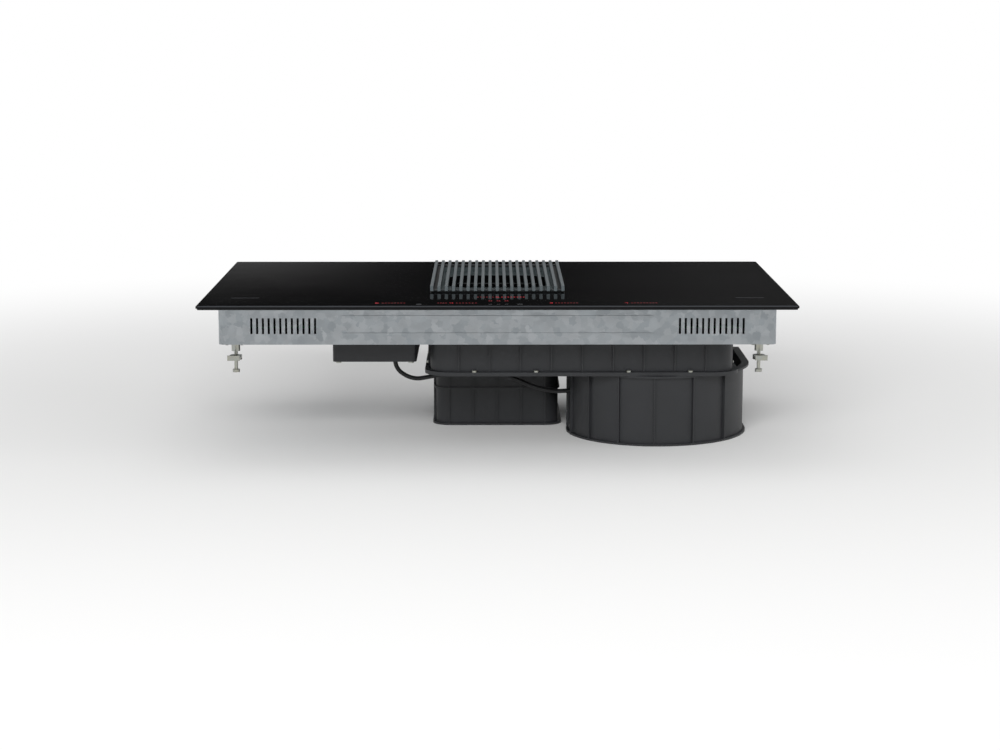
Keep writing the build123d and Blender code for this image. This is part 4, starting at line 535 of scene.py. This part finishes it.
# ========================================== ferrite bars, mica sheets, sensors
# Under each coil lie sintered ferrite bars that bundle its field. A sheet of pressed mica keeps
# the glass's heat off it, and a ceramic sensor in its eye feels the glass.
def speckled(name, dark, light, roughness, speck_mm, relief=0.2):
    """A fired, pressed or cast stuff whose grains differ in tone."""
    finish, tree, shader, place = new_finish(name, dark, roughness)
    specks = add_node(tree, "ShaderNodeTexVoronoi", values={"Scale": per_mm(speck_mm)},
                      links={"Vector": place})
    shade = add_node(tree, "ShaderNodeSeparateColor", links={"Color": specks.outputs["Color"]})
    tone = add_node(tree, "ShaderNodeMixRGB",
                    values={"Color1": linear(dark), "Color2": linear(light)},
                    links={"Fac": shade.outputs["Red"]})
    bump = add_node(tree, "ShaderNodeBump", values={"Strength": relief, "Distance": 0.0002},
                    links={"Height": specks.outputs["Distance"]})
    feed(tree, shader, Base_Color=tone.outputs["Color"], Normal=bump.outputs["Normal"])
    return finish


dress(speckled("sintered_ferrite", "#26272A", "#34363A", 0.6, 0.8), "ferrite_bars")
dress(speckled("pressed_mica", "#A39A7E", "#C9C0A4", 0.35, 3.0, 0.08), "mica_sheets")
dress(speckled("white_alumina", "#DDDBD2", "#ECEAE2", 0.5, 0.6, 0.1), "coil_sensors")


# ============================================================== coil cushions
# Round posts of red-brown silicone, moulded and set on the rails. They give a little and press
# each coil's carrier up against the glass.
dress(soft_rubber("red_brown_silicone", "#8A3E2F", 0.5, 3), "coil_cushions")


# =============================================================== power boards
# Two inverter boards of glass-fibre laminate on bosses of the pan, with capacitors, chokes and
# relays soldered on. A small square fan cools each.

# Green solder mask over copper: 5 mm tracks show as slightly lighter bands.
solder_mask, tree, shader, place = new_finish("green_solder_mask", "#1C5A33", 0.32)
tracks = add_node(tree, "ShaderNodeTexBrick",
                  values={"Color1": linear("#1F6438"), "Color2": linear("#1A5530"),
                          "Mortar": linear("#2C7A49"), "Scale": per_mm(10), "Mortar Size": 0.03},
                  links={"Vector": place})
feed(tree, shader, Base_Color=tracks.outputs["Color"])
dress(solder_mask, "power_board_left", "power_board_right")


def moulded_plastic(name, colour, roughness, grain_mm=0.8, relief=0.25):
    """Injection-moulded plastic: the mould's eroded grain, and slow shading where it flowed."""
    finish, tree, shader, place = new_finish(name, colour, roughness)
    shader.inputs["IOR"].default_value = 1.49
    grain = add_node(tree, "ShaderNodeTexNoise", values={"Scale": per_mm(grain_mm), "Detail": 3.0},
                     links={"Vector": place})
    flow = add_node(tree, "ShaderNodeTexNoise", values={"Scale": per_mm(70), "Detail": 2.0},
                    links={"Vector": place})
    satin = add_node(tree, "ShaderNodeMapRange",
                     values={"To Min": roughness - 0.07, "To Max": roughness + 0.07},
                     links={"Value": flow.outputs["Fac"]})
    dark, light = shades(colour, 0.8, 1.25, lift=0.002)
    tone = add_node(tree, "ShaderNodeMixRGB", values={"Color1": dark, "Color2": light},
                    links={"Fac": flow.outputs["Fac"]})
    bump = add_node(tree, "ShaderNodeBump", values={"Strength": relief, "Distance": 0.0002},
                    links={"Height": grain.outputs["Fac"]})
    feed(tree, shader, Base_Color=tone.outputs["Color"], Roughness=satin.outputs["Result"],
         Normal=bump.outputs["Normal"])
    return finish


dress(moulded_plastic("moulded_epoxy", "#1E1E20", 0.4, 1.2), "board_parts")
dress(moulded_plastic("black_polyester", "#1A1A1B", 0.5), "fan_frames", "fan_rotor_left",
      "fan_rotor_right")


# ============================================================== touch control
# The touch board lies on a white moulded holder that clips under the front of the glass; clear
# acrylic guides bring the light of its lamps up to the glass.
dress(moulded_plastic("black_solder_mask", "#121214", 0.3, 1.5, 0.05), "touch_board")
dress(moulded_plastic("white_abs", "#C9C9C4", 0.45), "touch_holder")
dress(lamp_red("lit_acrylic_guide", "#C8222A", 0.8, "#B86A68"), "light_guides")


# ================================================= air shaft, air box and scroll
# Black glass-filled polypropylene, injection moulded with ribs: the shaft from the collar's
# neck, the two shells of the air box with the drip chamber, the fan's scroll, and the outlet.

# Glass-filled polypropylene: matt black; its 0.6 mm grain is drawn at 1 mm.
housing_black = moulded_plastic("black_glass_filled_polypropylene", "#232426", 0.52, 1.0, 0.35)
dress(housing_black, "air_shaft", "air_box_upper", "air_box_lower", "scroll_tub", "outlet_spigot")


# ======================================================= bell mouth and flaps
# The fan's bell mouth and the two flaps of the outlet's non-return damper are moulded in grey
# ABS; the flaps hang on round pins and fall shut when the fan stops.
dress(moulded_plastic("grey_abs", "#6C7073", 0.42), "inlet_ring", "damper_flap_upper",
      "damper_flap_lower")


# ================================================================== fan wheel
# Forward-curved fan wheel with many short blades, moulded in one piece in dark grey polyamide
# and pressed on the motor's cup.
dress(moulded_plastic("dark_grey_polyamide", "#45484B", 0.48), "impeller")


# ================================================================== fan motor
# External-rotor motor in the wheel's hub: a deep-drawn steel cup over a laminated stator on a
# die-cast base, with a ground shaft in two ball bearings.
dress(brushed_metal("deep_drawn_steel", "#8B8E90", 0.35, 1.2, along="Z"), "motor_rotor")
dress(brushed_metal("ground_steel", "#B5B7B8", 0.18, 0.6, depth=0.05),
      "motor_shaft", "motor_bearings")
cast_aluminium = speckled("die_cast_aluminium", "#9A9D9F", "#AEB1B3", 0.45, 1.2, 0.15)
cast_aluminium.node_tree.nodes["Principled BSDF"].inputs["Metallic"].default_value = 1.0
dress(cast_aluminium, "motor_base")
# Stator stack: sheets of 0.5 mm electrical steel, drawn 1 mm thick so that their edges show.
stack, tree, shader, place = new_finish("electrical_steel_stack", "#5C5E60", 0.45, 1.0)
sheets = add_node(tree, "ShaderNodeTexWave", {"bands_direction": "Z"}, {"Scale": wave_per_mm(1)},
                  {"Vector": place})
sheet_tone = add_node(tree, "ShaderNodeMixRGB",
                      values={"Color1": linear("#3F4143"), "Color2": linear("#77797B")},
                      links={"Fac": sheets.outputs["Fac"]})
feed(tree, shader, Base_Color=sheet_tone.outputs["Color"])
dress(stack, "motor_stator")


# ================================================================== drip tray
# Drawer under the drip chamber that collects grease and spilt liquid, moulded in satin black
# ABS so that it wipes clean.
dress(moulded_plastic("satin_black_abs", "#2B2C2E", 0.36, 1.4, 0.15), "drip_tray")


# =============================================================== terminal box
# Box of the pan's galvanised sheet under its left rear corner, with a hinged lid. The mains
# lead enters by a nylon gland and ends at a natural nylon terminal block.
dress(galvanised, "terminal_box", "terminal_lid")
dress(moulded_plastic("natural_nylon", "#D8D7D0", 0.35, 1.0, 0.1), "terminal_block")
dress(moulded_plastic("black_nylon", "#1A1A1B", 0.5), "cable_gland")


# ==================================================== control box and fan cable
# The fan's control board sits in a shallow moulded box with a screwed lid; a sheathed cable
# runs from it to the motor.
dress(housing_black, "control_box", "control_lid")
dress(soft_rubber("black_pvc_sheath", "#1B1B1C", 0.42, 4), "fan_cable")


# ============================================================ worktop clamps
# Four clamps pull the hob down on the worktop. Each has a plate riveted under the pan, a screw
# and an arm that turns out. All are pressed steel with a clear zinc plate.
bracket_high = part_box("clamp_brackets")[1]
plate_half_x, plate_half_y, plate_thick = 0.0150, 0.0230, 0.0020
plate_under_z = bracket_high.z - plate_thick
rivet_radius, rivet_height = 0.0026, 0.0015
rivet_in_x, rivet_in_y = 0.0045, 0.0055
dome_share, downwards = 0.85, -0.9
# Zinc plate: bluish grey, cloudy over 5 mm, with a faint yellow in places.
zinc_plate, tree, shader, place = new_finish("clear_zinc_plate", "#A9ABA6", 0.32, 1.0)
clouds = add_node(tree, "ShaderNodeTexNoise", values={"Scale": per_mm(5), "Detail": 3.0},
                  links={"Vector": place})
plate_tone = add_node(tree, "ShaderNodeMixRGB",
                      values={"Color1": linear("#9CA3A6"), "Color2": linear("#B9B5A2")},
                      links={"Fac": clouds.outputs["Fac"]})
plate_rough = add_node(tree, "ShaderNodeMapRange", values={"To Min": 0.25, "To Max": 0.42},
                       links={"Value": clouds.outputs["Fac"]})
feed(tree, shader, Base_Color=plate_tone.outputs["Color"], Roughness=plate_rough.outputs["Result"])
dress(zinc_plate, "clamp_brackets", "clamp_screws", "clamp_arm_front_left", "clamp_arm_front_right",
      "clamp_arm_rear_left", "clamp_arm_rear_right")
bpy.ops.object.select_all(action="DESELECT")
bpy.ops.mesh.primitive_cylinder_add(vertices=20, radius=rivet_radius, depth=rivet_height,
                                    location=(0, 0, plate_under_z - rivet_height / 2))
rivet = bpy.context.object
bpy.ops.object.transform_apply(location=True, rotation=True, scale=True)
bpy.ops.object.mode_set(mode="EDIT")
bpy.ops.mesh.select_all(action="DESELECT")
bpy.ops.object.mode_set(mode="OBJECT")
for face in rivet.data.polygons:
    face.select = face.normal.z < downwards
bpy.ops.object.mode_set(mode="EDIT")
bpy.ops.mesh.bevel(offset=rivet_height * dome_share, segments=4, affect="EDGES")
bpy.ops.mesh.select_all(action="SELECT")
bpy.ops.mesh.normals_make_consistent(inside=False)
bpy.ops.object.mode_set(mode="OBJECT")
rivets = [copy_at(rivet,
                  side * (bracket_high.x - plate_half_x) + near * (plate_half_x - rivet_in_x),
                  end * (bracket_high.y - plate_half_y) + far * (plate_half_y - rivet_in_y))
          for side in (-1, 1) for end in (-1, 1) for near in (-1, 1) for far in (-1, 1)]
join_as("bracket_rivets", rivets, zinc_plate, "hob")
bpy.ops.object.shade_smooth_by_angle(angle=radians(40))
bpy.data.objects.remove(rivet)


# ============================================================= housing screws
# Zinc-plated pan-head screws that hold the shells of the air box, the scroll, the control
# box's lid and the terminal box.
dress(zinc_plate, "housing_screws")


# ===================================================== floor, light and camera
# Plain pale floor with soft studio light from above and in front; beyond the object it fades
# to white. The camera stands where the photograph was taken: in front, 3.06 m before the
# glass's front edge and 425 mm above it, a few millimetres left of the middle.
bpy.ops.object.select_all(action="DESELECT")
floor_radius = 40.0
bpy.ops.mesh.primitive_circle_add(vertices=96, radius=floor_radius, fill_type="NGON",
                                  location=(0, 0, 0))
floor = bpy.context.object
floor.name = "studio_floor"
# Floor paint: pale and dull near the object. From 0.55 m out it passes over into plain white,
# for the eye, for glass and for mirrors alike.
floor_paint, tree, shader, place = new_finish("pale_floor", "#F0F0EF", 0.7)
paths = add_node(tree, "ShaderNodeLightPath")
far = add_node(tree, "ShaderNodeVectorMath", {"operation": "LENGTH"}, links={0: place})
fade = add_node(tree, "ShaderNodeMapRange", {"interpolation_type": "SMOOTHSTEP"},
                {"From Min": 0.55, "From Max": 2.0}, {"Value": far.outputs["Value"]})
seen = add_node(tree, "ShaderNodeMath", {"operation": "MAXIMUM"},
                links={0: paths.outputs["Is Camera Ray"], 1: paths.outputs["Is Transmission Ray"]})
mirrored = add_node(tree, "ShaderNodeMath", {"operation": "MAXIMUM"},
                    links={0: seen.outputs[0], 1: paths.outputs["Is Glossy Ray"]})
share = add_node(tree, "ShaderNodeMath", {"operation": "MULTIPLY"},
                 links={0: fade.outputs["Result"], 1: mirrored.outputs[0]})
white = add_node(tree, "ShaderNodeEmission", values={"Color": (1, 1, 1, 1), "Strength": 1.0})
blend = add_node(tree, "ShaderNodeMixShader", links={0: share.outputs[0], 1: shader.outputs["BSDF"],
                                                     2: white.outputs["Emission"]})
tree.links.new(blend.outputs["Shader"], tree.nodes["Material Output"].inputs["Surface"])
floor.data.materials.append(floor_paint)

# The studio: white where it is seen directly. Mirror-like surfaces see white at the horizon and
# overhead, and a dark room between, with a faint glow low at the left and a fainter one at the
# right.
world = bpy.data.worlds.new("studio")
bpy.context.scene.world = world
world.use_nodes = True
sky = world.node_tree
toward = add_node(sky, "ShaderNodeTexCoord").outputs["Generated"]
axes = add_node(sky, "ShaderNodeSeparateXYZ", links={"Vector": toward})
dome = add_node(sky, "ShaderNodeMapRange", {"interpolation_type": "SMOOTHSTEP"},
                {"From Min": 0.15, "From Max": 0.75, "To Min": 0.008, "To Max": 1.0},
                {"Value": axes.outputs["Z"]})
low_down = add_node(sky, "ShaderNodeMapRange", {"interpolation_type": "SMOOTHSTEP"},
                    {"From Min": 0.132, "From Max": 0.110, "To Max": 0.15},
                    {"Value": axes.outputs["Z"]})
to_left = add_node(sky, "ShaderNodeMapRange", {"interpolation_type": "SMOOTHSTEP"},
                   {"From Min": -0.02, "From Max": -0.12}, {"Value": axes.outputs["X"]})
to_right = add_node(sky, "ShaderNodeMapRange", {"interpolation_type": "SMOOTHSTEP"},
                    {"From Min": 0.0, "From Max": 0.12, "To Max": 0.028},
                    {"Value": axes.outputs["X"]})
at_left = add_node(sky, "ShaderNodeMath", {"operation": "MULTIPLY_ADD"},
                   links={0: low_down.outputs["Result"], 1: to_left.outputs["Result"],
                          2: dome.outputs["Result"]})
glow = add_node(sky, "ShaderNodeMath", {"operation": "ADD"},
                links={0: at_left.outputs[0], 1: to_right.outputs["Result"]})
horizon = add_node(sky, "ShaderNodeMapRange", {"interpolation_type": "SMOOTHSTEP"},
                   {"From Min": 0.095, "From Max": 0.06}, {"Value": axes.outputs["Z"]})
mirrored = add_node(sky, "ShaderNodeMath", {"operation": "MAXIMUM"},
                    links={0: glow.outputs[0], 1: horizon.outputs["Result"]})
paths = add_node(sky, "ShaderNodeLightPath")
seen = add_node(sky, "ShaderNodeMath", {"operation": "MAXIMUM"},
                links={0: paths.outputs["Is Camera Ray"], 1: paths.outputs["Is Transmission Ray"]})
plain = add_node(sky, "ShaderNodeMixRGB",
                 values={"Color1": (0.44, 0.44, 0.445, 1), "Color2": (1, 1, 1, 1)},
                 links={"Fac": seen.outputs[0]})
studio = add_node(sky, "ShaderNodeMixRGB",
                  links={"Fac": paths.outputs["Is Glossy Ray"], "Color1": plain.outputs["Color"],
                         "Color2": mirrored.outputs[0]})
sky.links.new(studio.outputs["Color"], sky.nodes["Background"].inputs["Color"])


def softbox(name, place, aim, width, height, power):
    """A rectangular soft light that points at a place and shows in no mirror."""
    light = bpy.data.lights.new(name, "AREA")
    light.shape = "RECTANGLE"
    light.size = width
    light.size_y = height
    light.energy = power
    lamp = bpy.data.objects.new(name, light)
    lamp.location = place
    lamp.rotation_euler = (Vector(aim) - Vector(place)).to_track_quat("-Z", "Y").to_euler()
    lamp.visible_glossy = False
    lamp.visible_camera = False
    bpy.context.scene.collection.objects.link(lamp)


softbox("overhead_softbox", (-0.3, 0.6, 2.4), (0, 0, 0.2), 2.4, 1.6, 8)
softbox("front_softbox", (-0.6, -4.8, 2.0), (0, 0, 0.15), 3.2, 1.5, 265)
softbox("side_softbox", (2.4, -0.6, 1.3), (0, 0, 0.15), 1.0, 1.4, 8)

camera_place = (-0.0093, -3.3193, 0.6425)
looks_down, looks_right = radians(9.667), radians(0.235)
camera = bpy.data.cameras.new("camera")
camera.sensor_width = 36.0
camera.lens = 81.14
camera.clip_end = 200.0
view = bpy.data.objects.new("camera", camera)
view.location = camera_place
view.rotation_euler = (pi / 2 - looks_down, 0, -looks_right)
bpy.context.scene.collection.objects.link(view)
bpy.context.scene.camera = view
bpy.context.scene.view_settings.view_transform = "Standard"
